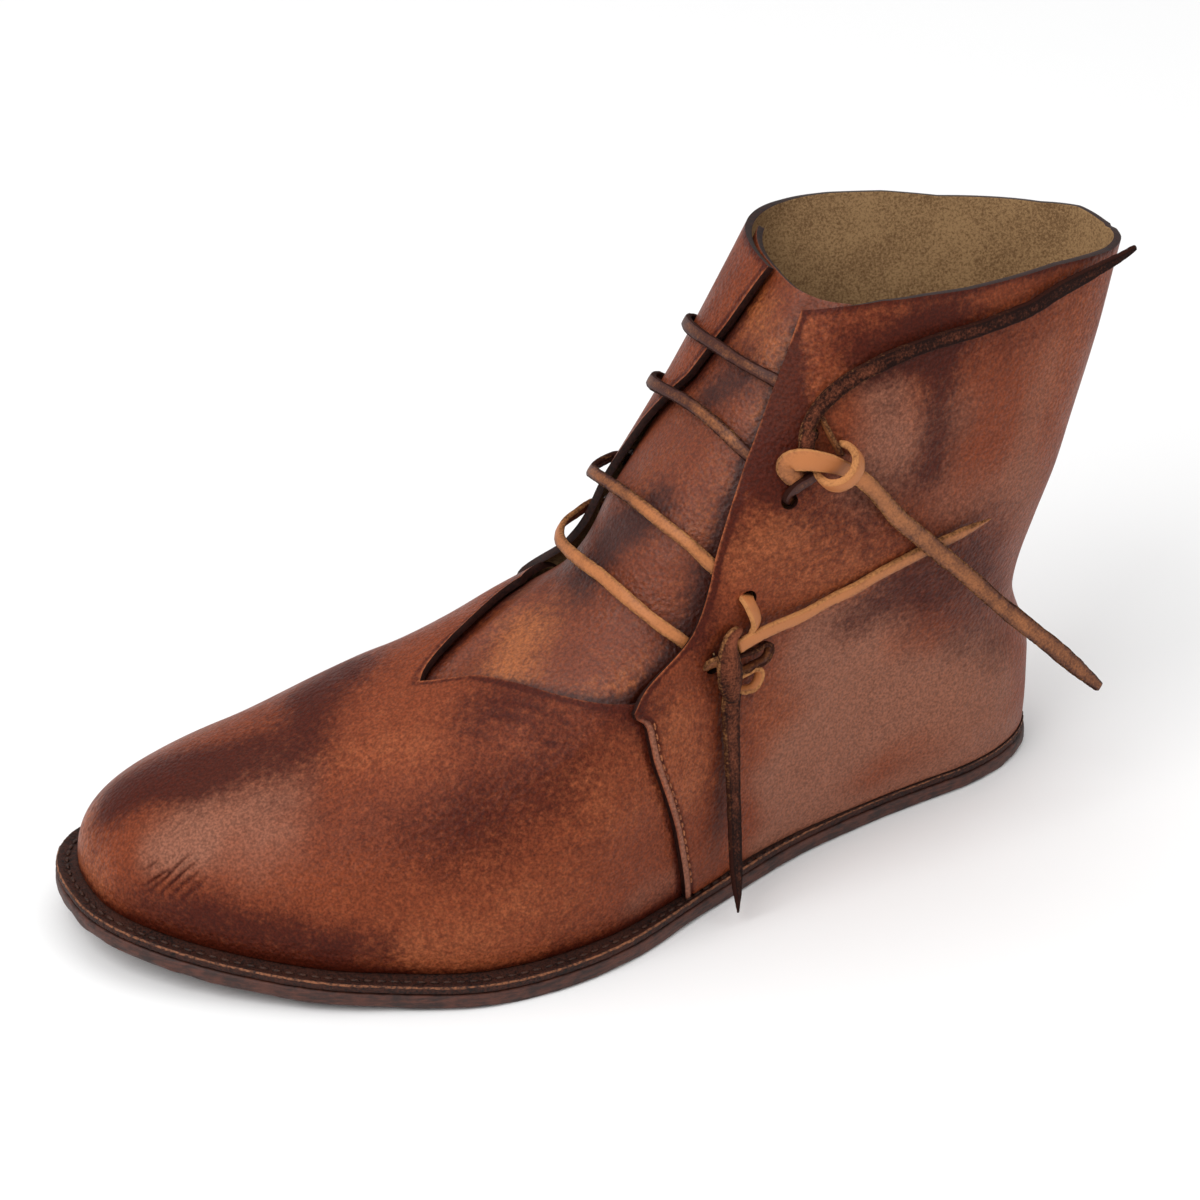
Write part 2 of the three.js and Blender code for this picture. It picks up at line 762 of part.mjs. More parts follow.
// Pieces
const bodies = {};
const pad = plate(() => -weltReach - airGap, outsoleThickness / 2, weltTop);
bodies.outsole = plate(ledge, 0, outsoleThickness).add(pad);
const weltEdge = (x) => ledge(x) - weltInset;
bodies.welt = ring(weltEdge, () => -weltReach, weltBottom, weltTop);
const insoleEdge = -leather - 2 * airGap;
bodies.insole = plate(() => insoleEdge, featherHeight, featherHeight + insoleThickness);
bodies.upper = vampSheet().add(quarterSheet());
for (const place of laceHoles) bodies.upper = bodies.upper.subtract(hole(place));
bodies.tongue = tongueSheet();
for (const [name, rows] of Object.entries(laceBars)) {
  const points = rows.map(({ along, turn, off }) =>
    offset(archPoint(along * footLength, turn), off),
  );
  bodies[name] = strip(points, laceBarSteps, barWidth);
}
for (const [name, rows] of Object.entries(laceEnds)) {
  const points = rows.map(placeOf);
  bodies[name] = strip(points, stepsPerEndPoint * (rows.length - 1), thongWidth);
}
for (const [name, knot] of Object.entries(knots)) bodies[name] = knotBody(knot);

// Colours of the leather
const colours = {
  outsole: 0x5a3628,
  welt: 0x2e1812,
  insole: 0x7d6240,
  upper: 0x7c4431,
  tongue: 0x8a4f33,
  lace: 0xb5713d,
};

// The frame's origin is on the floor, under the middle of the boot without its free thongs
const whole = new THREE.Box3();
const geometries = {};
for (const [name, body] of Object.entries(bodies)) {
  geometries[name] = geometryOf(body);
  geometries[name].computeBoundingBox();
  const free = name.startsWith("lace_end") || name.startsWith("knot");
  if (!free) whole.union(geometries[name].boundingBox);
}
const originX = (whole.min.x + whole.max.x) / 2;
const originY = (whole.min.y + whole.max.y) / 2;

const group = new THREE.Group();
for (const [name, geometry] of Object.entries(geometries)) {
  geometry.translate(-originX, -originY, 0);
  const colour = colours[name] ?? colours.lace;
  const mesh = new THREE.Mesh(geometry, new THREE.MeshStandardMaterial({ color: colour }));
  mesh.name = name;
  group.add(mesh);
}

export default group;
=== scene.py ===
import math

import bmesh
import bpy
import numpy as np
from mathutils import Matrix, Vector


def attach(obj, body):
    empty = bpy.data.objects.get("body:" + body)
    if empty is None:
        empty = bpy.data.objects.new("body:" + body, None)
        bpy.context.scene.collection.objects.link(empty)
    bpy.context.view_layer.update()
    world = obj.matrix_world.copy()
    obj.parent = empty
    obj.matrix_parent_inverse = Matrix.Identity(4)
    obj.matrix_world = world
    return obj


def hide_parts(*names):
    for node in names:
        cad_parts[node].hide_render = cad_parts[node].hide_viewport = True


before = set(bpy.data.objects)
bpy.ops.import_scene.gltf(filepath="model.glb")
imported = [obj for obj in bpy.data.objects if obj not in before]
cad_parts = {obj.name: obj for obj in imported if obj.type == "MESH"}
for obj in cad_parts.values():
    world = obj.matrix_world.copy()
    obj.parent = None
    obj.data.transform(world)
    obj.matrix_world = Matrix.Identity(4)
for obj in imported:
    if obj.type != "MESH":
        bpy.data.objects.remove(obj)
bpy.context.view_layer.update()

# A left ankle boot of plain leather, tied with two thongs. The tables are in millimetres and
# shares, in the frame in which the boot is drawn: X from the heel to the toe, Y to the
# wearer's left, Z up from the floor. put() moves them to the row frame and to metres.
ORIGIN = np.array([136.551, 2.745, 0.0])
MM = 0.001

# Driving sizes
FOOT_LENGTH = 278.3
BALL_WIDTH = 100.9
COLLAR_HEIGHT = 157.3
COLLAR_SLOPE = 0.086
COLLAR_LEVEL_AT = 50.0
LEATHER = 2.0
TONGUE_LEATHER = 1.8
AIR_GAP = 0.3

# Sole
OUTSOLE_THICKNESS = 4.0
WELT_THICKNESS = 2.4
INSOLE_THICKNESS = 2.0
WELT_INSET = 0.4
WELT_REACH = 9.0
LEDGE_AT_TOE = 6.2
LEDGE_AT_HEEL = 0.8
LEDGE_FROM = 60.0
LEDGE_OVER = 140.0
WELT_BOTTOM = OUTSOLE_THICKNESS + AIR_GAP
WELT_TOP = WELT_BOTTOM + WELT_THICKNESS
FEATHER_HEIGHT = WELT_TOP + AIR_GAP

# Toe spring and roundness of the last
ROCKER_START = 0.676 * FOOT_LENGTH
ROCKER_LENGTH = 0.348 * FOOT_LENGTH
ROCKER_LIMIT = 1.2
TOE_SPRING = 9.6
TOE_CAP = 47.1
TOE_ROUND = 2.33
SIDE_ROUND = 2.57
TOP_ROUND = 2.31
HEEL_ROUND = 36.3
SHAFT_BACK_ROUND = 106.6
SHAFT_FRONT_ROUND = 34.0
SHAFT_MIDDLE = 6.8
SHAFT_FROM = 40.0
SHAFT_FULL_AFTER = 55.0
SHAFT_AHEAD_TO = 205.0
INSTEP_TO = 190.0
AHEAD_FADE = 60.0
HEEL_ROUND_TO = 50.0
HEEL_ROUND_FADE = 80.0
FEATHER_FADE = 20.0
FEATHER_TUCK = 2.0
FEATHER_TUCK_HEIGHT = 14.0

# Half widths of the foot: along, lateral, medial
FOOT_TABLE = [
    (0.0, 0.279, 0.308), (0.162, 0.296, 0.306), (0.323, 0.344, 0.283), (0.467, 0.428, 0.3),
    (0.593, 0.515, 0.385), (0.701, 0.542, 0.478), (0.808, 0.482, 0.463), (0.898, 0.393, 0.426),
    (1.003, 0.294, 0.378),
]
# Middle line of the foot: along, aside
MIDDLE_TABLE = [(0.0, -0.029), (0.323, -0.004), (0.593, 0.044), (0.808, -0.042), (1.003, -0.156)]
# Ridge from the collar to the toe: along, high
RIDGE_TABLE = [
    (0.304, 1.055), (0.349, 0.945), (0.414, 0.795), (0.483, 0.65), (0.547, 0.516), (0.647, 0.452),
    (0.737, 0.381), (0.826, 0.304), (0.916, 0.252), (1.003, 0.226),
]
# Back of the heel and shaft: high, along
BACK_TABLE = [
    (0.0, 0.033), (0.191, 0.033), (0.35, 0.057), (0.496, 0.042), (0.636, 0.016), (0.795, -0.014),
    (0.954, -0.039),
]
# Half widths of the shaft: high, lateral, medial
SHAFT_TABLE = [
    (0.35, 0.304, 0.269), (0.496, 0.31, 0.266), (0.636, 0.315, 0.303), (0.795, 0.307, 0.355),
    (0.954, 0.264, 0.418),
]
# Front edge of the quarter on each side: high, share of the way round
LATERAL_EDGE = [
    (0.045, 0.636), (0.204, 0.654), (0.348, 0.672), (0.407, 0.675), (0.434, 0.697), (0.511, 0.741),
    (0.604, 0.771), (0.72, 0.819), (0.783, 0.844), (0.85, 0.863), (0.935, 0.883), (0.996, 0.903),
]
MEDIAL_EDGE = [
    (0.045, 0.636), (0.204, 0.651), (0.348, 0.665), (0.42, 0.676), (0.47, 0.736), (0.528, 0.81),
    (0.637, 0.853), (0.742, 0.891), (0.837, 0.952), (0.924, 0.968), (1.018, 0.977),
]
# Back edge of the vamp: turn, along
VAMP_EDGE = [
    (0.0, 0.46), (0.12, 0.475), (0.24, 0.492), (0.275, 0.521), (0.322, 0.546), (0.394, 0.6),
    (0.464, 0.648), (0.495, 0.689), (0.54, 0.639), (0.572, 0.591), (0.607, 0.55), (0.667, 0.525),
    (0.76, 0.492), (0.88, 0.475), (1.0, 0.46),
]
# Wave of the collar's rim: share of the way round from the heel, how much higher
LATERAL_WAVE = [
    (0.2, 0.0), (0.3, 1.0), (0.4, 1.8), (0.5, 1.2), (0.6, 0.9), (0.7, 1.5), (0.8, 1.2), (0.9, -0.8),
    (1.0, -3.7),
]
MEDIAL_WAVE = [
    (0.0, 0.0), (0.1, 0.6), (0.2, -0.9), (0.4, -1.2), (0.5, 0.3), (0.6, 0.6), (0.7, 0.0),
]
LAP_RISE = 1.9
LAP_FADE = 28.0
LAP_TOP = 70.0
LAP_TOP_FADE = 28.0
EDGE_LIFT = 0.4
POLE_LIMIT = 190.0

# Tongue: up, lateral turn, medial turn, for its sides and for its open part
TONGUE_ROOT = 0.737 * FOOT_LENGTH
TONGUE_DROP = 3.1
TONGUE_BULGE = 1.9
TONGUE_TABLE = [
    (0.0, 0.444, 0.556), (0.12, 0.411, 0.589), (0.21, 0.367, 0.622), (0.305, 0.3, 0.661),
    (0.39, 0.214, 0.711), (0.5, 0.211, 0.739), (0.6, 0.244, 0.708), (0.7, 0.283, 0.689),
    (0.82, 0.317, 0.653), (1.0, 0.367, 0.622),
]
OPEN_TABLE = [
    (0.12, 0.489, 0.52), (0.22, 0.456, 0.55), (0.305, 0.383, 0.578), (0.39, 0.289, 0.617),
    (0.46, 0.278, 0.667), (0.54, 0.294, 0.625), (0.69, 0.35, 0.6), (0.82, 0.389, 0.548),
    (1.0, 0.439, 0.52),
]

# Lace holes: along, high, side
HOLES = [
    (94.5, 130.0, 1), (101.6, 113.6, 1), (113.8, 88.4, 1), (125.0, 72.0, 1), (96.5, 136.0, -1),
    (107.0, 121.0, -1), (120.5, 103.0, -1), (128.0, 92.0, -1),
]
HOLE_RADIUS = 2.3
THONG_THICKNESS = 1.5
BAR_WIDTH = 3.4


# Curves and shares
def mix(a, b, t):
    return a + (b - a) * t


def ease(t):
    t = np.clip(t, 0.0, 1.0)
    return t * t * (3 - 2 * t)


def bell(distance, width):
    """A soft hump: 1 where the distance is nothing, fading out over the width."""
    return np.exp(-((distance / width) ** 2))


def between(a, b, slope_a, slope_b, t):
    """Smooth way from a to b with a slope at each end."""
    start = (1 + 2 * t) * (1 - t) ** 2 * a + t * (1 - t) ** 2 * slope_a
    return start + t * t * (3 - 2 * t) * b + t * t * (t - 1) * slope_b


def way_along(points):
    """How far each point of a line is along it."""
    steps = np.linalg.norm(np.diff(points, axis=0), axis=1)
    return np.concatenate([[0], np.cumsum(steps)])


def read_at(at, way, rows):
    """The rows' values at distances along the way."""
    return np.stack([np.interp(at, way, values) for values in rows.T], -1)


def curve_through(xs, ys):
    """Smooth curve through points, which keeps to the range between neighbours."""
    xs = np.asarray(xs, float)
    ys = np.asarray(ys, float)
    widths = np.diff(xs)
    slopes = np.diff(ys) / widths
    bends = np.zeros(len(xs))
    bends[0] = slopes[0]
    bends[-1] = slopes[-1]
    for i in range(1, len(xs) - 1):
        if slopes[i - 1] * slopes[i] > 0:
            heavy = 2 * widths[i] + widths[i - 1]
            light = widths[i] + 2 * widths[i - 1]
            bends[i] = (heavy + light) / (heavy / slopes[i - 1] + light / slopes[i])

    def at(x):
        x = np.asarray(x, float)
        i = np.clip(np.searchsorted(xs, x) - 1, 0, len(xs) - 2)
        t = (x - xs[i]) / widths[i]
        inside = between(ys[i], ys[i + 1], widths[i] * bends[i], widths[i] * bends[i + 1], t)
        below = ys[0] + bends[0] * (x - xs[0])
        above = ys[-1] + bends[-1] * (x - xs[-1])
        return np.where(x <= xs[0], below, np.where(x >= xs[-1], above, inside))

    return at


def line_through(xs, ys):
    """Straight lines through points."""
    xs = np.asarray(xs, float)
    ys = np.asarray(ys, float)

    def at(x):
        x = np.asarray(x, float)
        i = np.clip(np.searchsorted(xs, x) - 1, 0, len(xs) - 2)
        return mix(ys[i], ys[i + 1], (x - xs[i]) / (xs[i + 1] - xs[i]))

    return at


def column(make, table, size, k, scale):
    rows = np.array(table, float)
    return make(rows[:, 0] * size, rows[:, k] * scale)


foot_half = {
    1: column(curve_through, FOOT_TABLE, FOOT_LENGTH, 1, BALL_WIDTH),
    -1: column(curve_through, FOOT_TABLE, FOOT_LENGTH, 2, BALL_WIDTH),
}
shaft_half = {
    1: column(curve_through, SHAFT_TABLE, COLLAR_HEIGHT, 1, BALL_WIDTH),
    -1: column(curve_through, SHAFT_TABLE, COLLAR_HEIGHT, 2, BALL_WIDTH),
}
foot_middle = column(curve_through, MIDDLE_TABLE, FOOT_LENGTH, 1, BALL_WIDTH)
back_along = column(curve_through, BACK_TABLE, COLLAR_HEIGHT, 1, FOOT_LENGTH)
ridge_high = column(curve_through, RIDGE_TABLE, FOOT_LENGTH, 1, COLLAR_HEIGHT)
ridge_along = column(
    curve_through, [(b, a) for a, b in reversed(RIDGE_TABLE)], COLLAR_HEIGHT, 1, FOOT_LENGTH
)
front_round = {
    1: column(line_through, LATERAL_EDGE, COLLAR_HEIGHT, 1, math.pi),
    -1: column(line_through, MEDIAL_EDGE, COLLAR_HEIGHT, 1, math.pi),
}
vamp_back = column(line_through, VAMP_EDGE, 1, 1, FOOT_LENGTH)
tongue_low = column(line_through, TONGUE_TABLE, 1, 1, 1)
tongue_high = column(line_through, TONGUE_TABLE, 1, 2, 1)
open_low = column(line_through, OPEN_TABLE, 1, 1, 1)
open_high = column(line_through, OPEN_TABLE, 1, 2, 1)


# The form
def rise(x):
    return TOE_SPRING * np.clip((x - ROCKER_START) / ROCKER_LENGTH, 0, ROCKER_LIMIT) ** 2


def collar_at(x):
    return COLLAR_HEIGHT + COLLAR_SLOPE * (x - COLLAR_LEVEL_AT)


def shaft_share(x, z):
    return ease((z - SHAFT_FROM) / SHAFT_FULL_AFTER) * ease((SHAFT_AHEAD_TO - x) / AHEAD_FADE)


def middle(x, z):
    return mix(foot_middle(x), SHAFT_MIDDLE, shaft_share(x, z))


def half_width(x, z, side):
    foot = np.where(side > 0, foot_half[1](x), foot_half[-1](x))
    shaft = np.where(side > 0, shaft_half[1](z), shaft_half[-1](z))
    tuck = FEATHER_TUCK * np.clip(1 - (z - FEATHER_HEIGHT) / FEATHER_TUCK_HEIGHT, 0, 1) ** 2
    return mix(foot - tuck, shaft, shaft_share(x, z))


def taken(x, z):
    """How much of the half width's room the rounded toe, back and top take at a place."""
    toe = np.maximum((x - FOOT_LENGTH + TOE_CAP) / TOE_CAP, 0)
    round_ = mix(HEEL_ROUND, SHAFT_BACK_ROUND, ease((z - HEEL_ROUND_TO) / HEEL_ROUND_FADE))
    back = np.maximum((back_along(z) + round_ - x) / round_, 0)
    foot = np.maximum((z - FEATHER_HEIGHT) / (ridge_high(x) - FEATHER_HEIGHT), 0)
    shaft = np.maximum((x - ridge_along(z) + SHAFT_FRONT_ROUND) / SHAFT_FRONT_ROUND, 0)
    top = mix(foot, shaft, ease((INSTEP_TO - x) / AHEAD_FADE))
    return toe**TOE_ROUND + back**2 + top**TOP_ROUND


def form_point(x, z, side):
    """The place on the form that is so far along and so high, on one side."""
    x, z, side = np.broadcast_arrays(np.asarray(x, float), z, side)
    width = half_width(x, z, side) * np.maximum(1 - taken(x, z), 0) ** (1 / SIDE_ROUND)
    return np.stack([x, middle(x, z) + side * width, z + rise(x)], -1)


def outside(p):
    """Below nothing inside the form, and above it outside."""
    x = p[..., 0]
    z = p[..., 2] - rise(x)
    aside = p[..., 1] - middle(x, z)
    share = np.abs(aside) / half_width(x, z, np.sign(aside))
    return share**SIDE_ROUND + taken(x, z) - 1


def unit(v):
    return v / np.maximum(np.linalg.norm(v, axis=-1, keepdims=True), 1e-12)


def outward(p):
    """Direction away from the form, kept level near its bottom edge."""
    step = 0.05
    n = unit(np.stack([outside(p + step * e) - outside(p - step * e) for e in np.eye(3)], -1))
    n[..., 2] *= ease((p[..., 2] - rise(p[..., 0]) - FEATHER_HEIGHT) / FEATHER_FADE)
    return unit(n)


def offset(p, distance):
    return p + outward(p) * np.asarray(distance)[..., None]


def arch_point(x, turn):
    """The place on the form's arch at x: turn 0 at the lateral bottom, 1 at the medial one."""
    x, turn = np.broadcast_arrays(np.asarray(x, float), turn)
    toe = np.clip((x - FOOT_LENGTH + TOE_CAP) / TOE_CAP, 0, 1)
    high = (ridge_high(x) - FEATHER_HEIGHT) * (1 - toe**TOE_ROUND) ** (1 / TOP_ROUND)
    z = FEATHER_HEIGHT + high * np.sin(math.pi * turn)
    return form_point(x, z, np.where(turn < 0.5, 1, -1))


def round_along(angle, z):
    pole = np.minimum(ridge_along(z), POLE_LIMIT)
    return mix(back_along(z), pole, (1 - np.cos(angle)) / 2)


def front_along(z, side):
    angle = np.where(side > 0, front_round[1](z), front_round[-1](z))
    return round_along(angle, z)


# Camera
CAMERA_AZIMUTH = 26.134
CAMERA_ELEVATION = 31.552
CAMERA_ROLL = -0.349
CAMERA_DISTANCE = 1313.069
CAMERA_TARGET = np.array([139.389, 4.05, 76.022])
CAMERA_LENS = 150.3
SENSOR = 36.0


def direction(azimuth, elevation):
    """A direction from the boot, with the azimuth from the wearer's left towards the toe."""
    a = math.radians(azimuth)
    e = math.radians(elevation)
    return Vector((math.sin(a) * math.cos(e), math.cos(a) * math.cos(e), math.sin(e)))


def aim_camera():
    roll = math.radians(CAMERA_ROLL)
    back = direction(CAMERA_AZIMUTH, CAMERA_ELEVATION)
    right = (-back).cross(Vector((0, 0, 1))).normalized()
    up = right.cross(-back)
    turned_right = right * math.cos(roll) + up * math.sin(roll)
    turned_up = up * math.cos(roll) - right * math.sin(roll)
    data = bpy.data.cameras.new("camera")
    data.lens = CAMERA_LENS
    data.sensor_width = SENSOR
    data.clip_start = 0.05
    data.clip_end = 20
    camera = bpy.data.objects.new("camera", data)
    bpy.context.scene.collection.objects.link(camera)
    place = Vector((CAMERA_TARGET - ORIGIN) * MM) + back * CAMERA_DISTANCE * MM
    turn = Matrix((turned_right, turned_up, back)).transposed().to_4x4()
    camera.matrix_world = Matrix.Translation(place) @ turn
    bpy.context.scene.camera = camera


aim_camera()
bpy.ops.object.select_all(action="DESELECT")


# Meshes
def put(points):
    return (np.asarray(points, float) - ORIGIN) * MM


def new_piece(name, points, faces, materials, slots=None):
    """A piece from points in millimetres, with its faces as given and shaded smooth."""
    mesh = bpy.data.meshes.new(name)
    mesh.from_pydata(put(points).tolist(), [], [list(map(int, f)) for f in faces])
    for material in materials:
        mesh.materials.append(material)
    if slots is not None:
        mesh.polygons.foreach_set("material_index", np.asarray(slots, np.int32))
    mesh.polygons.foreach_set("use_smooth", np.ones(len(mesh.polygons), bool))
    mesh.update()
    piece = bpy.data.objects.new(name, mesh)
    bpy.context.scene.collection.objects.link(piece)
    return piece


def grid_faces(rows, columns):
    i, j = np.meshgrid(np.arange(rows - 1), np.arange(columns - 1), indexing="ij")
    a = (i * columns + j).ravel()
    return np.stack([a, a + columns, a + columns + 1, a + 1], -1)


def facing(points, faces, normals):
    """The faces, turned to the side that the normals point to."""
    p = points[faces[:, :3]]
    across = np.cross(p[:, 1] - p[:, 0], p[:, 2] - p[:, 0])
    if (across * normals[faces[:, 0]]).sum() < 0:
        return faces[:, ::-1]
    return faces


def paint(piece, name, values, kind="FLOAT_COLOR"):
    """Values at the points, for the material to read."""
    layer = piece.data.attributes.new(name, kind, "POINT")
    if kind == "FLOAT":
        layer.data.foreach_set("value", np.asarray(values, np.float32).ravel())
    else:
        rows = np.ones((len(values), 4), np.float32)
        rows[:, : values.shape[1]] = values
        layer.data.foreach_set("color", rows.ravel())


def finish_with(piece, *modifiers):
    """Adds modifiers one by one and applies each."""
    bpy.ops.object.select_all(action="DESELECT")
    piece.select_set(True)
    bpy.context.view_layer.objects.active = piece
    for kind, settings in modifiers:
        modifier = piece.modifiers.new(kind.lower(), kind)
        for key, value in settings.items():
            setattr(modifier, key, value)
        bpy.ops.object.modifier_apply(modifier=modifier.name)
    piece.select_set(False)


# Node helpers
def feed(tree, target, value):
    if isinstance(value, bpy.types.NodeSocket):
        tree.links.new(value, target)
    else:
        target.default_value = value


def add(tree, kind, settings=None, **sockets):
    """A node with its settings, and its inputs set or linked. _0 in a name stands for an index."""
    made = tree.nodes.new(kind)
    for key, value in (settings or {}).items():
        setattr(made, key, value)
    for key, value in sockets.items():
        index = int(key[1:]) if key.startswith("_") else key.replace("_", " ")
        feed(tree, made.inputs[index], value)
    return made


def calc(tree, operation, a, b):
    return add(tree, "ShaderNodeMath", {"operation": operation}, _0=a, _1=b).outputs[0]


def swing(tree, value, strength):
    """A pattern's value moved to lie around nothing, at a strength."""
    return calc(tree, "MULTIPLY", calc(tree, "SUBTRACT", value, 0.5), strength)


def blend(tree, share, a, b, kind="MIX"):
    settings = {"data_type": "RGBA", "blend_type": kind, "clamp_factor": True}
    return add(tree, "ShaderNodeMix", settings, _0=share, _6=a, _7=b).outputs[2]


def spread(tree, value, low, high, to_low=0.0, to_high=1.0):
    settings = {"interpolation_type": "SMOOTHSTEP"}
    sockets = {"_0": value, "_1": low, "_2": high, "_3": to_low, "_4": to_high}
    return add(tree, "ShaderNodeMapRange", settings, **sockets).outputs[0]


def noise(tree, place, scale, detail=3.0, rough=0.55, warp=0.0):
    sockets = {"Vector": place, "Scale": scale, "Detail": detail, "Roughness": rough}
    return add(tree, "ShaderNodeTexNoise", None, Distortion=warp, **sockets).outputs[0]


def object_place(tree):
    return tree.nodes.new("ShaderNodeTexCoord").outputs["Object"]


def new_group(name, inputs, outputs):
    tree = bpy.data.node_groups.new(name, "ShaderNodeTree")
    for label, kind, value in inputs:
        socket = tree.interface.new_socket(name=label, in_out="INPUT", socket_type=kind)
        socket.default_value = value
    for label, kind in outputs:
        tree.interface.new_socket(name=label, in_out="OUTPUT", socket_type=kind)
    inner = tree.nodes.new("NodeGroupInput").outputs
    outer = tree.nodes.new("NodeGroupOutput").inputs
    return tree, inner, outer


def use_group(tree, group, **sockets):
    made = tree.nodes.new("ShaderNodeGroup")
    made.node_tree = group
    for key, value in sockets.items():
        feed(tree, made.inputs[key], value)
    return made.outputs


def colour(text):
    """A colour from its six hex digits, as light."""
    parts = [int(text[i : i + 2], 16) / 255 for i in (0, 2, 4)]
    return tuple(c / 12.92 if c <= 0.04045 else ((c + 0.055) / 1.055) ** 2.4 for c in parts) + (1,)


COLOUR = "NodeSocketColor"
FLOAT = "NodeSocketFloat"


def build_dye():
    """Leather colour: a base that marks and clouds shift to dark, warm and grey. The marks carry the
    dye and also painted shade, painted shadow and painted highlights.
    """
    inputs = [
        ("Base", COLOUR, colour("8a4a32")),
        ("Dark", COLOUR, colour("47201a")),
        ("Warm", COLOUR, colour("a8643c")),
        ("Grey", COLOUR, colour("6d4a3c")),
        ("Marks", COLOUR, (0, 0, 0, 1)),
    ]
    tree, inner, outer = new_group("dye", inputs, [("Color", COLOUR), ("Rough", FLOAT)])
    place = object_place(tree)
    marks = add(tree, "ShaderNodeSeparateColor", None, Color=inner["Marks"]).outputs
    broad = noise(tree, place, 24.0, 3.0, 0.55, 0.6)
    clouds = noise(tree, place, 75.0, 4.0, 0.6, 0.3)
    fine = noise(tree, place, 620.0, 3.0, 0.6)
    dots = noise(tree, place, 1400.0, 2.0, 0.6)
    sway = swing(tree, broad, 0.8)
    drift = swing(tree, clouds, 0.7)
    grit = swing(tree, fine, 1.35)
    shifted = calc(tree, "ADD", calc(tree, "ADD", sway, drift), grit)
    dark = spread(tree, calc(tree, "ADD", marks[0], shifted), -0.1, 1.15)
    warm = spread(tree, calc(tree, "SUBTRACT", marks[1], shifted), 0.0, 1.15)
    grey = spread(tree, calc(tree, "ADD", marks[2], calc(tree, "SUBTRACT", drift, sway)), 0.15, 1.0)
    shade = blend(tree, calc(tree, "MULTIPLY", warm, 0.9), inner["Base"], inner["Warm"])
    shade = blend(tree, calc(tree, "MULTIPLY", grey, 0.8), shade, inner["Grey"])
    shade = blend(tree, calc(tree, "MULTIPLY", dark, 0.92), shade, inner["Dark"])
    spots = spread(tree, dots, 0.3, 0.72, 0.7, 1.34)
    scaled = add(tree, "ShaderNodeCombineColor", None, Red=spots, Green=spots, Blue=spots).outputs[0]
    tree.links.new(blend(tree, 1.0, shade, scaled, "MULTIPLY"), outer["Color"])
    tree.links.new(spread(tree, clouds, 0.3, 0.7, 0.36, 0.5), outer["Rough"])
    return tree


def build_grain():
    """Height of leather grain, in shares of its depth: pebbles, pores and soft unevenness."""
    inputs = [("Pebble", FLOAT, 0.9), ("Pore", FLOAT, 0.7)]
    tree, inner, outer = new_group("grain", inputs, [("Height", FLOAT)])
    place = object_place(tree)
    cell = {"feature": "SMOOTH_F1"}
    pebble = add(tree, "ShaderNodeTexVoronoi", cell, Vector=place, Scale=780.0, Smoothness=0.6)
    pores = noise(tree, place, 1500.0, 3.0, 0.7)
    soft = noise(tree, place, 260.0, 3.0, 0.6)
    height = calc(tree, "MULTIPLY", pebble.outputs[0], inner["Pebble"])
    height = calc(tree, "ADD", height, calc(tree, "MULTIPLY", pores, inner["Pore"]))
    tree.links.new(calc(tree, "ADD", height, soft), outer["Height"])
    return tree


def build_nap():
    """Rough flesh side: a speckle of pale and dark fibres, and its height."""
    inputs = [
        ("Pale", COLOUR, colour("a5875c")),
        ("Deep", COLOUR, colour("4a3522")),
        ("Size", FLOAT, 900.0),
    ]
    tree, inner, outer = new_group("nap", inputs, [("Color", COLOUR), ("Height", FLOAT)])
    place = object_place(tree)
    sockets = {"Vector": place, "Scale": inner["Size"], "Detail": 4.0, "Roughness": 0.75}
    fibres = add(tree, "ShaderNodeTexNoise", None, **sockets).outputs[0]
    clouds = noise(tree, place, 60.0, 3.0, 0.6)
    level = calc(tree, "ADD", fibres, swing(tree, clouds, 0.3))
    share = spread(tree, level, 0.34, 0.62)
    tree.links.new(blend(tree, share, inner["Deep"], inner["Pale"]), outer["Color"])
    tree.links.new(fibres, outer["Height"])
    return tree


dye = build_dye()
grain = build_grain()
nap = build_nap()


GRAIN_DEPTH = 0.0003


def new_material(name):
    material = bpy.data.materials.new(name)
    material.use_nodes = True
    tree = material.node_tree
    return material, tree, tree.nodes["Principled BSDF"]


def bump(tree, shader, height, distance):
    node = add(tree, "ShaderNodeBump", None, Height=height, Distance=distance, Strength=1.0)
    tree.links.new(node.outputs[0], shader.inputs["Normal"])


def dyed_leather(name, tones, shine):
    material, tree, shader = new_material(name)
    # The marks attribute holds the dye's marks together with painted shade, painted shadow and painted
    # highlights
    marks = add(tree, "ShaderNodeAttribute", {"attribute_name": "marks"}).outputs["Color"]
    base, dark, warm, grey = (colour(t) for t in tones)
    made = use_group(tree, dye, Base=base, Dark=dark, Warm=warm, Grey=grey, Marks=marks)
    tree.links.new(made["Color"], shader.inputs["Base Color"])
    tree.links.new(made["Rough"], shader.inputs["Roughness"])
    bump(tree, shader, use_group(tree, grain)["Height"], GRAIN_DEPTH)
    shader.inputs["Specular IOR Level"].default_value = shine
    return material


def rough_leather(name, pale, deep, size=900.0, depth=0.0002, roughness=0.9):
    material, tree, shader = new_material(name)
    made = use_group(tree, nap, Pale=colour(pale), Deep=colour(deep), Size=size)
    tree.links.new(made["Color"], shader.inputs["Base Color"])
    bump(tree, shader, made["Height"], depth)
    shader.inputs["Roughness"].default_value = roughness
    shader.inputs["Specular IOR Level"].default_value = 0.25
    return material


# Tones of the leather: base, dark, warm, grey. The dark tone also gives painted shade and shadow, the
# warm one painted highlights
UPPER_TONES = ("78381f", "3e1006", "975231", "8a5a47")
TONGUE_TONES = ("6c3017", "330e06", "9a562c", "6e4a38")
upper_leather = dyed_leather("upper_leather", UPPER_TONES, 0.12)
tongue_leather = dyed_leather("tongue_leather", TONGUE_TONES, 0.32)
flesh = rough_leather("flesh_side", "a07f58", "6c4f33", 1500.0)
cut_edge = rough_leather("cut_edge", "a06a50", "6a3a28", 1400.0, 0.0001, 0.6)
dark_edge = rough_leather("burnished_edge", "2e140e", "120605", 1100.0, 0.0001, 0.5)


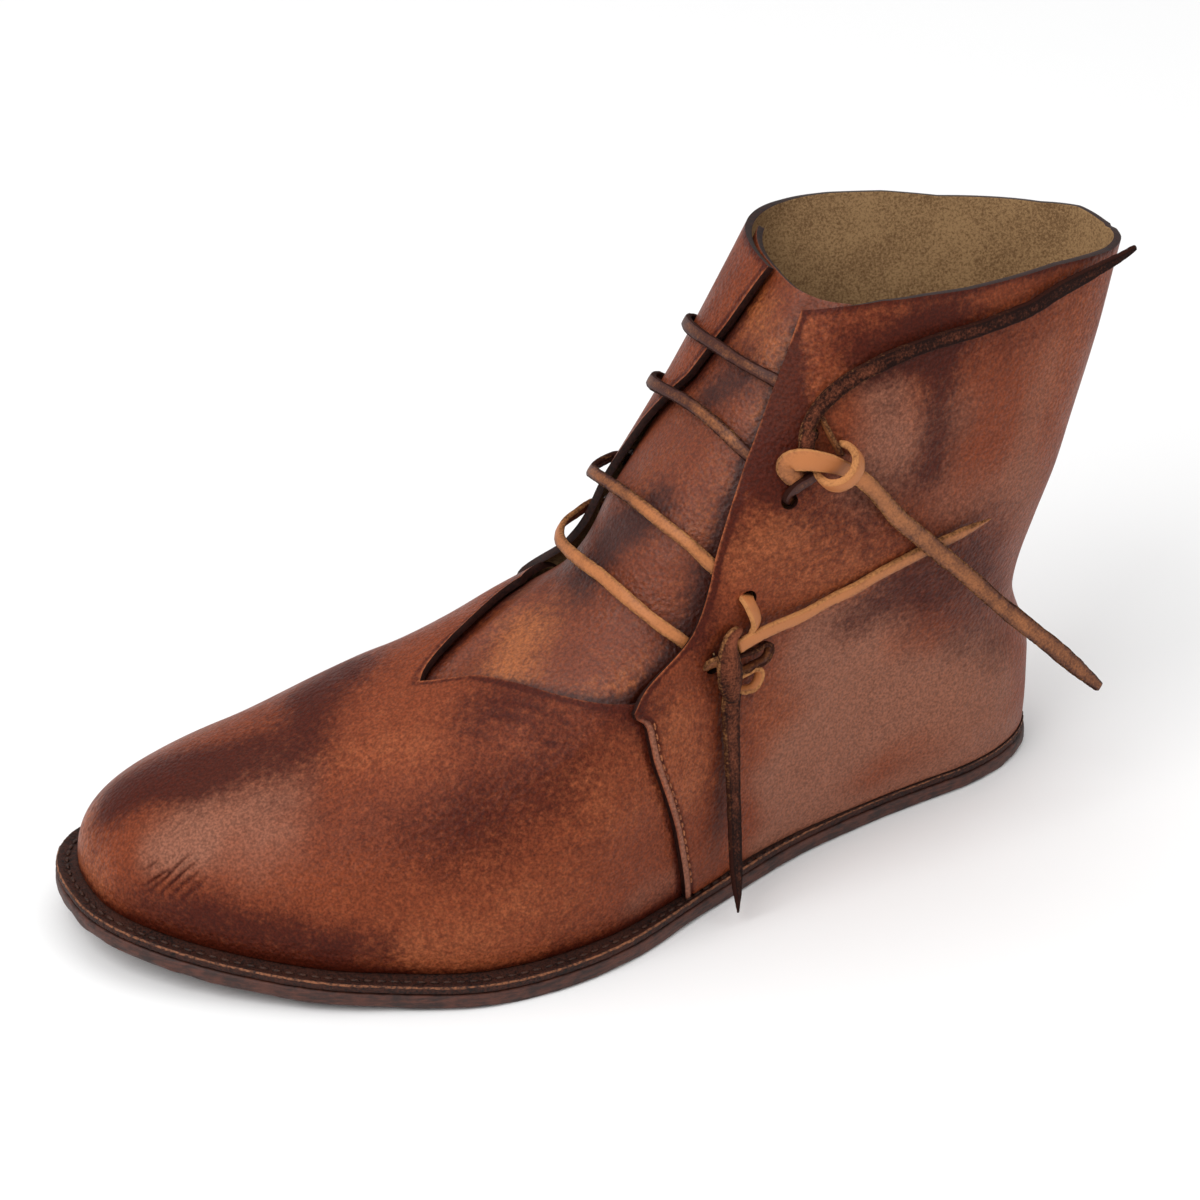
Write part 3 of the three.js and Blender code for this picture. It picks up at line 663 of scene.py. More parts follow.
# Leather of a thong: how coarse its speckle is, depth of its grain, roughness, gloss
GRAIN_FACE = (0.9, 0.00012, 0.5, 0.3)
FLESH_FACE = (1.3, 0.0004, 0.8, 0.12)


def thong_leather(name, dark, light, face):
    material, tree, shader = new_material(name)
    tone = add(tree, "ShaderNodeAttribute", {"attribute_name": "tone"}).outputs["Fac"]
    place = object_place(tree)
    clouds = noise(tree, place, 170.0, 3.0, 0.6)
    grit = noise(tree, place, 1400.0, 3.0, 0.7)
    level = calc(tree, "ADD", tone, swing(tree, clouds, 0.7))
    coarse, depth, roughness, gloss = face
    level = calc(tree, "ADD", level, swing(tree, grit, coarse))
    shade = blend(tree, spread(tree, level, 0.0, 1.0), colour(dark), colour(light))
    tree.links.new(shade, shader.inputs["Base Color"])
    bump(tree, shader, grit, depth)
    shader.inputs["Roughness"].default_value = roughness
    shader.inputs["Specular IOR Level"].default_value = gloss
    return material


thong_grain = thong_leather("thong_grain", "3a1409", "b47040", GRAIN_FACE)
thong_flesh = thong_leather("thong_flesh", "1c0804", "8a4c34", FLESH_FACE)
thong_rim = thong_leather("thong_rim", "2c1008", "c08250", FLESH_FACE)

# Thongs
THONG_EDGE = 0.35
STEPS_PER_MM = 1.2
EDGE_TONE = -0.25
GRAIN_SIDE = 0
FLESH_SIDE = 1
THONG_RIM = 2
SECTION_SLOTS = [GRAIN_SIDE] * 3 + [THONG_RIM] * 3 + [FLESH_SIDE] * 3 + [THONG_RIM] * 3
# Waves of a strip's width: how often and how high
STRIP_WAVES = ((0.11, 0.03), (0.29, 0.025), (0.7, 0.015))
# Corners of a strip's section: share across, inset by the rounded edge, share of the way to the
# flat face, and crown
STRIP_SECTION = [
    (-1, 1, 1, 0), (-0.34, 0, 1, 0.08), (0.34, 0, 1, 0.08), (1, 1, 1, 0), (1, 0, 0.001, 0),
    (1, 0, -0.001, 0), (1, 1, -1, 0), (0.34, 0, -1, 0), (-0.34, 0, -1, 0), (-1, 1, -1, 0),
    (-1, 0, -0.001, 0), (-1, 0, 0.001, 0),
]


def smooth_path(rows):
    """Smooth path through rows of x, y, z and more, at even steps."""
    rows = np.asarray(rows, float)
    first = 2 * rows[0] - rows[1]
    last = 2 * rows[-1] - rows[-2]
    all_rows = np.vstack([first, rows, last])
    dense = []
    for i in range(1, len(all_rows) - 2):
        p0, p1, p2, p3 = all_rows[i - 1 : i + 3]
        d0, d1, d2 = (
            np.linalg.norm(b[:3] - a[:3]) ** 0.5 for a, b in ((p0, p1), (p1, p2), (p2, p3))
        )
        t1 = ((p1 - p0) / d0 - (p2 - p0) / (d0 + d1) + (p2 - p1) / d1) * d1
        t2 = ((p2 - p1) / d1 - (p3 - p1) / (d1 + d2) + (p3 - p2) / d2) * d1
        t = np.linspace(0, 1, 24, endpoint=False)[:, None]
        dense.append(between(p1, p2, t1, t2, t))
    dense.append(rows[-1:])
    dense = np.vstack(dense)
    gone = way_along(dense[:, :3])
    count = max(int(gone[-1] * STEPS_PER_MM), 8)
    return read_at(np.linspace(0, gone[-1], count + 1), gone, dense), gone[-1]


def frames_along(path, twist, start=None):
    """Directions of a strip's flat side along a path: towards the outside of the boot, twisted."""
    tangent = unit(np.gradient(path, axis=0))
    reference = outward(path)
    normal = np.zeros_like(path)
    now = reference[0] if start is None else unit(np.asarray(start, float))
    for i, t in enumerate(tangent):
        now = unit(now - t * (now @ t))
        flat = reference[i] - t * (reference[i] @ t)
        hold = np.linalg.norm(flat)
        if start is None and hold > 0.3:
            now = unit(now * (1 - 0.5 * hold) + flat / hold * 0.5 * hold)
        normal[i] = now
    turn = np.radians(twist)[:, None]
    side = np.cross(tangent, normal)
    return tangent, normal * np.cos(turn) + side * np.sin(turn)


def strip(name, path, normal, tangent, width, tone, thickness, seed, bow=0.0):
    """A closed strip of leather along a path, with its grain side to the normals."""
    side = np.cross(tangent, normal)
    steps = len(path)
    rng = np.random.default_rng(seed)
    along = np.arange(steps)
    wave = sum(np.sin(along * often + rng.uniform(0, 6.28)) * high for often, high in STRIP_WAVES)
    half = width / 2 * (1 + wave)
    flat = np.minimum(1, half) * thickness / 2
    edge = np.minimum(THONG_EDGE, half * 0.4)
    ring = []
    for across, inset, off, crown in STRIP_SECTION:
        reach = across * half - np.sign(across) * inset * edge + rng.normal(0, 0.05, steps)
        lift = np.sign(off) * (flat - (1 - abs(off)) * edge) + crown + bow * (1 - across**2)
        ring.append(path + side * reach[:, None] + normal * lift[:, None])
    ring = np.stack(ring, 1)
    points = ring.reshape(-1, 3)
    k = ring.shape[1]
    faces = []
    slots = []
    for i in range(steps - 1):
        for j in range(k):
            m = (j + 1) % k
            faces.append((i * k + j, i * k + m, (i + 1) * k + m, (i + 1) * k + j))
            slots.append(SECTION_SLOTS[j])
    faces.append(tuple(range(k))[::-1])
    faces.append(tuple((steps - 1) * k + j for j in range(k)))
    slots += [THONG_RIM, THONG_RIM]
    piece = new_piece(name, points, faces, [thong_grain, thong_flesh, thong_rim], slots)
    darker = np.array([EDGE_TONE if abs(across) == 1 else 0.0 for across, *_ in STRIP_SECTION])
    paint(piece, "tone", (tone[:, None] + darker).ravel(), "FLOAT")
    turn_outwards(piece)
    return piece


def turn_outwards(piece):
    shape = bmesh.new()
    shape.from_mesh(piece.data)
    bmesh.ops.recalc_face_normals(shape, faces=shape.faces)
    shape.to_mesh(piece.data)
    shape.free()


def thong(name, rows, seed, start=None, thickness=THONG_THICKNESS, bow=0.0):
    """A thong through rows of x, y, z, twist, width and tone."""
    path, length = smooth_path(rows)
    tangent, normal = frames_along(path[:, :3], path[:, 3], start)
    places, width, tone = path[:, :3], path[:, 4], path[:, 5]
    return strip(name, places, normal, tangent, width, tone, thickness, seed, bow), places, length


def dressed(points, twist, width, tone):
    """Rows for a thong: the points with twist, width and tone given at shares of the way."""
    points = np.asarray(points, float)
    gone = way_along(points)
    share = gone / gone[-1]
    extra = [np.interp(share, *zip(*values)) for values in (twist, width, tone)]
    return np.column_stack([points, *extra])


# Free ends of the thongs
END_1 = [
    (97.2, 38.0, 126.3), (96.4, 36.1, 131.0), (94.6, 35.2, 134.0), (91.1, 34.6, 137.8),
    (84.6, 34.8, 142.3), (75.3, 35.1, 145.6), (65.1, 34.8, 147.3), (55.8, 34.1, 147.7),
    (45.6, 33.2, 147.5), (36.6, 32.0, 147.8), (27.5, 30.5, 148.2), (18, 28.5, 150.1),
    (9.7, 26.4, 150.9), (3.2, 25.5, 152.1), (-3.1, 24.6, 153.3), (-7.7, 23.8, 154.5),
]
END_2 = [
    (87.1, 40.9, 120.4), (81.6, 41.4, 115.9), (71.0, 40.9, 101.8), (63.6, 40.4, 93.8),
    (56.1, 40.7, 85.6), (48.5, 41.3, 77.4), (40.9, 42.3, 68.7), (33.1, 43.0, 60.5),
    (25.3, 43.5, 52.4), (17.3, 44.0, 43.6), (9.4, 44.5, 34.8),
]
END_3 = [
    (118.7, 42.5, 77.2), (112.9, 42.2, 78.8), (107.3, 41.5, 79.4), (98.0, 39.8, 79.6),
    (90.0, 39.0, 81.4), (83.0, 38.9, 82.8), (75.5, 38.8, 85.2), (68.5, 38.6, 86.9),
    (60.0, 38.4, 88.9), (50.0, 37.6, 90.3), (40.5, 36.2, 91.4),
]
END_4 = [
    (120.8, 43.5, 63.9), (121.2, 43.6, 61.7), (121.6, 44.8, 53.0), (121.9, 46.0, 45.6),
    (122.4, 47.8, 36.0), (123.1, 50.0, 26.4), (123.8, 52.0, 18.4), (124.2, 53.5, 13.0),
    (124.4, 54.6, 6.4), (124.5, 55.0, 3.4),
]
FLESH_OUT = 180.0
end_rows = {
    "lace_end_1": dressed(
        END_1,
        [(0, 155.0), (0.1, FLESH_OUT), (1, FLESH_OUT)],
        [(0, 3.6), (0.12, 4.2), (0.85, 4.2), (0.93, 3.0), (1, 1.6)],
        [(0, 0.45), (0.2, 0.3), (0.5, 0.18), (1, 0.08)],
    ),
    "lace_end_2": dressed(
        END_2,
        [(0, 0), (1, 0)],
        [(0, 4.2), (0.15, 4.8), (0.97, 4.9), (0.985, 4.2), (1, 2.8)],
        [(0, 0.85), (0.15, 0.6), (0.6, 0.45), (1, 0.4)],
    ),
    "lace_end_3": dressed(
        END_3,
        [(0, 0), (1, 0)],
        [(0, 3.6), (0.6, 3.4), (0.85, 3.4), (1, 0.4)],
        [(0, 1.1), (0.5, 0.85), (1, 0.6)],
    ),
    "lace_end_4": dressed(
        END_4,
        [(0, FLESH_OUT), (1, FLESH_OUT)],
        [(0, 5.6), (0.4, 4.8), (0.8, 4.2), (1, 0.6)],
        [(0, 0.5), (0.3, 0.35), (1, 0.1)],
    ),
}

ends = {}
for number, (name, rows) in enumerate(end_rows.items()):
    ends[name] = thong(name + "_thong", rows, number)

# Knots
BAND = [
    (98.8, 37.7, 119.2), (100.6, 37.3, 120.4), (102.0, 37.2, 122.1), (102.7, 37.4, 124.3),
    (102.3, 38.1, 125.8), (99.8, 39.4, 126.3), (97.0, 40.6, 126.0), (93.4, 41.6, 124.9),
    (90.0, 41.8, 123.1), (87.2, 41.0, 121.0), (85.1, 39.8, 119.1),
]
STRAND = [
    (100.3, 35.4, 112.5), (101.8, 36.8, 114.7), (101.4, 37.9, 116.4), (99.4, 38.4, 118.0),
    (97.1, 38.8, 119.2), (94.4, 39.2, 120.6),
]
TIE = [
    (91.5, 35.2, 134.3), (90.9, 36.7, 132.2), (90.2, 38.1, 129.8), (89.3, 39.2, 127.5),
    (88.3, 40.1, 125.1),
]
TURN_UNDER = [(98.4, 37.6, 122.4), (97.6, 38.4, 126.0), (96.8, 37.4, 129.4), (95.6, 36.6, 132.4)]
LOW_STRAND = [
    (113.0, 36.1, 87.5), (114.3, 38.0, 88.4), (114.8, 40.0, 88.8), (114.3, 41.3, 87.1),
    (113.6, 41.9, 84.8), (113.1, 41.7, 82.4), (113.5, 40.8, 79.6),
]
LOW_WRAP = [
    (117.9, 40.7, 81.5), (120.4, 42.4, 80.6), (122.0, 43.7, 78.5), (122.5, 44.5, 75.3),
    (122.2, 44.8, 71.3), (121.6, 44.5, 66.9), (120.8, 43.6, 62.8),
]
LOW_LOOP = [
    (120.0, 41.8, 73.4), (117.2, 41.3, 73.6), (113.3, 41.6, 74.2), (110.0, 41.5, 75.2),
    (108.8, 41.4, 74.3), (109.1, 41.2, 71.9), (110.4, 41.2, 70.1), (112.5, 41.3, 69.6),
    (115.5, 41.4, 68.9), (119.4, 42.0, 69.4),
]
LOW_LOOP_UNDER = [
    (119.0, 41.9, 67.2), (115.5, 41.5, 67.7), (112.9, 41.7, 68.5), (111.8, 41.6, 67.2),
    (112.2, 41.7, 65.1), (113.9, 42.2, 63.4), (116.6, 42.1, 63.2), (119.6, 42.5, 64.4),
]
LOW_SIDE = [
    (126.7, 38.6, 69.9), (126.7, 40.3, 72.0), (125.9, 41.2, 73.2), (124.8, 42.4, 74.1),
    (123.4, 43.1, 74.2),
]


def even(points, twist, width, tone):
    return dressed(points, [(0, twist), (1, twist)], [(0, width), (1, width)], [(0, tone), (1, tone)])


band_rows = dressed(
    BAND,
    [(0, 0), (1, 0)],
    [(0, 4.6), (0.3, 5.4), (0.6, 5.2), (0.85, 4.2), (1, 3.4)],
    [(0, 0.5), (0.25, 0.8), (0.4, 1.1), (1, 1.1)],
)
wrap_rows = dressed(
    LOW_WRAP,
    [(0, 180), (1, 180)],
    [(0, 1.6), (0.12, 4.0), (0.4, 6.7), (0.62, 7.8), (0.85, 6.4), (1, 4.8)],
    [(0, 0.7), (0.5, 0.5), (1, 0.35)],
)
knot_rows = {
    "knot_high_band": (band_rows, {}),
    "knot_high_strand": (even(STRAND, 20, 3.2, 0.1), {}),
    "knot_high_tie": (even(TIE, 80, 3.2, 0.5), {"thickness": 1.0}),
    "knot_high_turn": (even(TURN_UNDER, 180, 4.4, 0.35), {}),
    "knot_low_strand": (even(LOW_STRAND, -12, 4.2, 1.1), {"start": (0.15, 0.1, 1.0)}),
    "knot_low_wrap": (wrap_rows, {"bow": -1.1}),
    "knot_low_loop": (even(LOW_LOOP, 75, 2.8, 0.35), {"thickness": 1.2}),
    "knot_low_under": (even(LOW_LOOP_UNDER, 65, 2.8, 0.9), {"thickness": 1.3}),
    "knot_low_side": (even(LOW_SIDE, 0, 3.6, 0.55), {}),
}
FIRST_KNOT_SEED = 11
knots = {}
for seed, (name, (rows, settings)) in enumerate(knot_rows.items(), FIRST_KNOT_SEED):
    knots[name] = thong(name, rows, seed, **settings)[0]

HOOP_CENTRE = np.array([89.8, 41.8, 123.0])
HOOP_AXIS = unit(np.array([0.61, 0.23, 0.76]))
HOOP_RADIUS = 5.5
HOOP_WIDTH = 4.4
HOOP_THICKNESS = 2.0
HOOP_REACH = 128
HOOP_TONE = 1.0
HOOP_SEED = 20


def hoop(name):
    """An open turn of thong round an axis, with its grain side out and its gap to the boot."""
    out_here = outward(HOOP_CENTRE[None])[0]
    first = unit(out_here - HOOP_AXIS * (out_here @ HOOP_AXIS))
    second = np.cross(HOOP_AXIS, first)
    angle = np.radians(np.linspace(-HOOP_REACH, HOOP_REACH, 60))
    out = np.cos(angle)[:, None] * first + np.sin(angle)[:, None] * second
    path = HOOP_CENTRE + out * HOOP_RADIUS
    tangent = unit(np.gradient(path, axis=0))
    widths = np.full(len(angle), HOOP_WIDTH)
    tones = np.full(len(angle), HOOP_TONE)
    return strip(name, path, out, tangent, widths, tones, HOOP_THICKNESS, HOOP_SEED)


knots["knot_high_hoop"] = hoop("knot_high_hoop")

# Bars of the thongs: along, turn, off and thickness. Each starts behind a hole of the near
# quarter, comes out under its edge, crosses the tongue and goes into a hole on the far side
PRESSED = 1.1
BARS = {
    "lace_bar_1": [
        (95.0, 0.328, -2.2, PRESSED), (97.0, 0.372, -2.2, PRESSED), (98.6, 0.409, -0.8, 1.3),
        (100.5, 0.44, 0.4, 1.4), (102.1, 0.479, 1.1, 1.5), (102.9, 0.516, 1.5, 1.5),
        (102.8, 0.55, 1.9, 1.5), (101.4, 0.588, 2.2, 1.5), (98.9, 0.622, 2.2, 1.5),
        (97.1, 0.641, 0.9, 1.5), (96.5, 0.645, -2.8, 1.5),
    ],
    "lace_bar_2": [
        (102.0, 0.293, -2.2, PRESSED), (106.0, 0.345, -2.2, PRESSED), (109.4, 0.389, -0.8, 1.3),
        (111.3, 0.436, 0.4, 1.5), (112.3, 0.48, 1.1, 1.5), (112.9, 0.512, 1.5, 1.5),
        (113.2, 0.552, 1.9, 1.5), (112.2, 0.592, 2.6, 1.5), (110.0, 0.625, 2.8, 1.5),
        (107.8, 0.647, 1.7, 1.5), (107.0, 0.657, -2.8, 1.5),
    ],
    "lace_bar_3": [
        (114.2, 0.243, -2.2, PRESSED), (118.3, 0.275, -2.2, PRESSED), (122.4, 0.314, -0.8, 1.3),
        (126.1, 0.368, 0.5, 1.5), (129.1, 0.423, 1.1, 1.5), (130.7, 0.48, 1.5, 1.5),
        (131.5, 0.535, 2.0, 1.5), (130.8, 0.585, 3.0, 1.5), (128.6, 0.628, 3.9, 1.5),
        (124.8, 0.655, 3.0, 1.5), (121.6, 0.668, 1.0, 1.5), (120.5, 0.671, -2.8, 1.5),
    ],
    "lace_bar_4": [
        (125.4, 0.214, -2.2, PRESSED), (129.0, 0.241, -2.2, PRESSED), (132.4, 0.271, -0.8, 1.3),
        (136.8, 0.314, 0.5, 1.5), (141.0, 0.385, 1.2, 1.5), (143.1, 0.451, 1.5, 1.5),
        (144.0, 0.51, 1.8, 1.5), (143.8, 0.56, 2.3, 1.5), (142.2, 0.605, 3.2, 1.5),
        (138.8, 0.642, 3.8, 1.5), (134.2, 0.67, 2.6, 1.5), (130.0, 0.684, 0.9, 1.5),
        (128.0, 0.69, -2.8, 1.5),
    ],
}
BAR_TONES = {
    "lace_bar_1": [(0, 0.2), (0.3, 0.2), (1, 0.15)],
    "lace_bar_2": [(0, 0.3), (0.35, 0.35), (0.45, 0.45), (0.6, 0.2), (1, 0.2)],
    "lace_bar_3": [(0, 0.8), (0.35, 0.7), (0.6, 0.35), (1, 0.2)],
    "lace_bar_4": [(0, 0.85), (0.3, 0.9), (0.7, 0.75), (1, 0.5)],
}
FIRST_BAR_SEED = 30
bars = {}
for number, (name, rows) in enumerate(BARS.items()):
    table = np.array(rows)
    points = offset(arch_point(table[:, 0], table[:, 1]), table[:, 2])
    extra = dressed(points, [(0, 0), (1, 0)], [(0, BAR_WIDTH), (1, BAR_WIDTH)], BAR_TONES[name])
    path, _ = smooth_path(np.column_stack([extra, table[:, 3]]))
    places, twist, width, tone, thickness = path[:, :3], *path[:, 3:].T
    tangent, normal = frames_along(places, twist)
    seed = FIRST_BAR_SEED + number
    bars[name] = strip(name + "_thong", places, normal, tangent, width, tone, thickness, seed)


# Marks and creases, each a line of places on the form: along, high, side
def near_line(points, line):
    """Distance from points to a line through places, and the share of the way along it."""
    line = np.asarray(line, float)
    if len(line) == 1:
        return np.linalg.norm(points - line[0], axis=1), np.full(len(points), 0.5)
    best = np.full(len(points), 1e9)
    share = np.zeros(len(points))
    gone = way_along(line)
    for i in range(len(line) - 1):
        way = line[i + 1] - line[i]
        t = np.clip((points - line[i]) @ way / (way @ way), 0, 1)
        distance = np.linalg.norm(points - line[i] - t[:, None] * way, axis=1)
        closer = distance < best
        best = np.where(closer, distance, best)
        share = np.where(closer, (gone[i] + t * (gone[i + 1] - gone[i])) / gone[-1], share)
    return best, share


def on_form(places):
    rows = np.array(places, float)
    return form_point(rows[:, 0], rows[:, 1], rows[:, 2])


DARK = 0
WARM = 1
GREY = 2
# Marks of the dye, and painted shadow beside the thongs and the upper knot: which tone, strength,
# width, then the places
MARKS = [
    (DARK, 1.15, 12, [(203, 59, -1), (213, 55, -1), (223, 51, -1), (232, 47, -1), (248, 40, -1)]),
    (DARK, 0.7, 10, [(248, 40, -1), (256, 35, -1), (266, 29, -1)]),
    (DARK, 0.65, 14, [(194, 51, 1), (186, 53, 1), (178, 56, 1)]),
    (DARK, 0.5, 13, [(205, 41, 1), (195, 44, 1)]),
    (DARK, 0.75, 8, [(270, 13, 1), (261, 13, 1), (249, 11, 1), (234, 11, 1)]),
    (DARK, 0.5, 7, [(177, 10, 1), (158, 9, 1), (141, 8, 1)]),
    (DARK, 0.55, 9, [(154, 70, 1), (148, 67, 1)]),
    (DARK, 0.6, 9, [(186, 66, 1), (176, 70, 1), (168, 73, 1)]),
    (DARK, 0.68, 13, [(99, 113, 1), (90, 108, 1), (78, 108, 1)]),
    # Painted shadow along thong end 4, down the quarter
    (DARK, 0.59, 7, [(127, 80, 1), (123, 62, 1), (124, 44, 1), (123, 25, 1)]),
    (DARK, 0.55, 14, [(57, 69, 1), (41, 55, 1), (32, 44, 1)]),
    (DARK, 0.5, 13, [(80, 86, 1), (62, 84, 1), (44, 84, 1)]),
    # Painted shadow along thong end 1, across the quarter
    (DARK, 0.55, 11, [(80, 146, 1), (66, 148, 1), (52, 147, 1)]),
    (DARK, 0.34, 10, [(53, 146, 1), (53, 130, 1), (56, 116, 1)]),
    (DARK, 0.34, 12, [(40, 81, 1), (30, 64, 1)]),
    (DARK, 0.4, 7, [(82, 155, 1), (67, 155, 1), (49, 154, 1)]),
    (DARK, 0.51, 6, [(102, 137, 1), (108, 126, 1), (114, 114, 1), (122, 100, 1), (130, 83, 1)]),
    (DARK, 0.26, 9, [(23, 156, 1), (27, 138, 1)]),
    (WARM, 0.85, 9, [(274, 19, -1), (277, 15, -1), (278, 11, 1)]),
    (WARM, 0.42, 9, [(202, 59, 1), (217, 53, 1), (229, 48, 1), (240, 44, 1), (256, 36, 1)]),
    (WARM, 0.55, 9, [(216, 15, 1), (209, 16, 1), (201, 17, 1)]),
    (WARM, 0.5, 13, [(167, 53, 1), (163, 47, 1)]),
    (WARM, 0.68, 10, [(141, 60, 1), (138, 52, 1), (135, 41, 1)]),
    (WARM, 0.94, 7, [(92, 152, 1), (96, 144, 1), (99, 135, 1)]),
    (WARM, 0.68, 17, [(99, 96, 1), (90, 89, 1), (83, 78, 1)]),
    (WARM, 0.42, 12, [(110, 50, 1), (100, 39, 1)]),
    (WARM, 0.42, 17, [(72, 135, 1), (69, 123, 1)]),
    (WARM, 0.6, 19, [(76, 47, 1), (62, 38, 1), (48, 30, 1)]),
    (GREY, 0.95, 22, [(92, 28, 1), (66, 36, 1), (38, 26, 1)]),
    (DARK, -0.35, 24, [(92, 28, 1), (66, 36, 1), (38, 26, 1)]),
    (DARK, 0.6, 6, [(60, 151, 1), (57, 131, 1), (60, 111, 1)]),
    (DARK, 0.25, 7, [(41, 148, 1), (34, 139, 1)]),
    (GREY, 0.8, 11, [(75, 136, 1), (72, 121, 1), (81, 115, 1)]),
    (GREY, 0.35, 12, [(20, 136, 1), (24, 114, 1), (34, 94, 1)]),
    (GREY, 0.5, 15, [(88, 67, 1), (80, 44, 1), (96, 25, 1)]),
    (DARK, 0.6, 8, [(70, 76, 1), (79, 70, 1)]),
    (DARK, 0.5, 4, [(110, 74, 1), (115, 59, 1)]),
    # Painted shadow beside thong end 1, next to the upper knot
    (DARK, 1.6, 5, [(95, 146, 1), (99, 133, 1), (105, 119, 1)]),
    # Painted shadow along thong end 1, across the quarter
    (DARK, 0.7, 6, [(76, 146, 1), (66, 147, 1), (56, 146, 1)]),
    (WARM, 0.7, 7, [(114, 103, 1), (106, 105, 1)]),
    (DARK, 0.5, 9, [(259, 34, -1), (267, 28, -1)]),
    (DARK, 0.2, 8, [(183, 68, 1), (176, 67, 1)]),
    (DARK, 0.25, 8, [(164, 63, 1), (167, 66, 1)]),
    (DARK, 0.55, 7, [(261, 19, 1), (240, 18, 1), (222, 15, 1)]),
    (WARM, 0.4, 9, [(177, 25, 1), (188, 26, 1)]),
    (DARK, 0.3, 12, [(231, 45, 1), (223, 43, 1)]),
    (DARK, 0.35, 8, [(91, 154, -1), (100, 140, -1)]),
    (WARM, 0.42, 14, [(7, 136, 1), (14, 115, 1)]),
    (GREY, 0.51, 10, [(266, 26, -1), (251, 31, -1), (236, 40, -1)]),
    (GREY, 0.68, 16, [(250, 38, 1), (236, 44, 1), (243, 37, 1)]),
    (GREY, 0.75, 9, [(266, 27, 1), (261, 30, 1)]),
    (GREY, 0.59, 10, [(152, 15, 1), (142, 14, 1)]),
    (GREY, 0.68, 7, [(108, 7, 1), (78, 7, 1), (48, 7, 1), (23, 9, 1)]),
    (GREY, 0.51, 13, [(43, 46, 1), (34, 33, 1)]),
    (GREY, 0.59, 13, [(53, 124, 1), (60, 111, 1), (50, 99, 1)]),
    (GREY, 0.42, 12, [(25, 95, 1), (27, 77, 1)]),
    (GREY, 0.59, 14, [(91, 68, 1), (75, 69, 1)]),
    # The side that doesn't show in the photograph
    (DARK, 0.51, 13, [(215, 30, -1), (190, 28, -1), (170, 34, -1)]),
    (DARK, 0.42, 14, [(60, 70, -1), (44, 54, -1)]),
    (DARK, 0.42, 7, [(262, 12, -1), (235, 10, -1), (200, 9, -1)]),
    (DARK, 0.42, 12, [(60, 140, -1), (58, 118, -1)]),
    (WARM, 0.68, 14, [(236, 24, -1), (222, 20, -1)]),
    (WARM, 0.59, 17, [(100, 92, -1), (86, 80, -1)]),
    (WARM, 0.51, 17, [(74, 44, -1), (60, 34, -1)]),
    (GREY, 0.59, 7, [(120, 8, -1), (78, 7, -1), (40, 7, -1)]),
    (GREY, 0.51, 14, [(150, 50, -1), (136, 42, -1)]),
]
# Creases: depth, width, then the places
CREASES = [
    (0.70, 0.44, [(270.9, 18.9, 1), (267.4, 22.8, 1), (264.5, 25.7, 1)]),
    (0.80, 0.44, [(270.2, 17.7, 1), (265.9, 23.4, 1), (262, 27.8, 1), (258.5, 30.9, 1)]),
    (0.80, 0.44, [(268.4, 18.2, 1), (265, 22.8, 1), (261.6, 26.6, 1), (258.1, 29.8, 1)]),
    (0.70, 0.44, [(266.4, 18.6, 1), (263.2, 23, 1), (258.2, 28, 1)]),
    (0.55, 0.44, [(263.9, 19.5, 1), (260.4, 23.7, 1), (257.1, 27.1, 1)]),
    (0.40, 0.44, [(271, 21.3, 1), (268.3, 24.2, 1), (265.5, 26.9, 1)]),
    (0.30, 0.90, [(184.3, 66.4, 1), (178.6, 66.9, 1), (172.3, 65.9, 1)]),
    (0.28, 0.90, [(178.9, 68.9, 1), (172.9, 69.1, 1), (167.2, 67.3, 1)]),
    (0.28, 0.90, [(178.2, 64.3, 1), (172.9, 63.5, 1), (168.7, 61.1, 1)]),
    (0.25, 0.90, [(191.3, 63.4, 1), (186.8, 63.1, 1), (182.7, 61.5, 1)]),
]
# Broad dents and swells of the worn leather: height, width, then the places
SWELLS = [
    (-0.9, 16, [(36, 84, 1), (30, 72, 1)]),
    (-0.9, 16, [(36, 84, -1), (30, 72, -1)]),
    (0.6, 14, [(82, 96, 1)]),
    (-0.5, 12, [(70, 74, 1), (96, 70, 1)]),
    (0.5, 15, [(60, 44, 1)]),
    (-0.5, 12, [(60, 120, 1), (52, 104, 1)]),
    (0.5, 14, [(64, 110, -1)]),
    (-0.6, 12, [(84, 74, -1)]),
]


def marks_at(points, marks=MARKS):
    values = np.zeros((len(points), 3))
    for tone, strength, width, places in marks:
        distance, _ = near_line(points, on_form(places))
        values[:, tone] += strength * bell(distance, width)
    return values


def relief(points, creases=CREASES, swells=SWELLS):
    """How far creases and swells move the surface out."""
    moved = np.zeros(len(points))
    for depth, width, places in creases:
        distance, share = near_line(points, on_form(places))
        ends_fade = np.sqrt(np.maximum(np.sin(math.pi * np.clip(share, 0.02, 0.98)), 0))
        moved -= depth * bell(distance, width) * ends_fade
    for height, width, places in swells:
        distance, _ = near_line(points, on_form(places))
        moved += height * bell(distance, width)
    return moved


def shade(marks, tone, strength, distance, width, share=1.0):
    """Adds a soft line of one tone to the marks."""
    marks[:, tone] += strength * bell(distance, width) * share


SHEET_EDGE = 0.35
SHARP = math.radians(50)


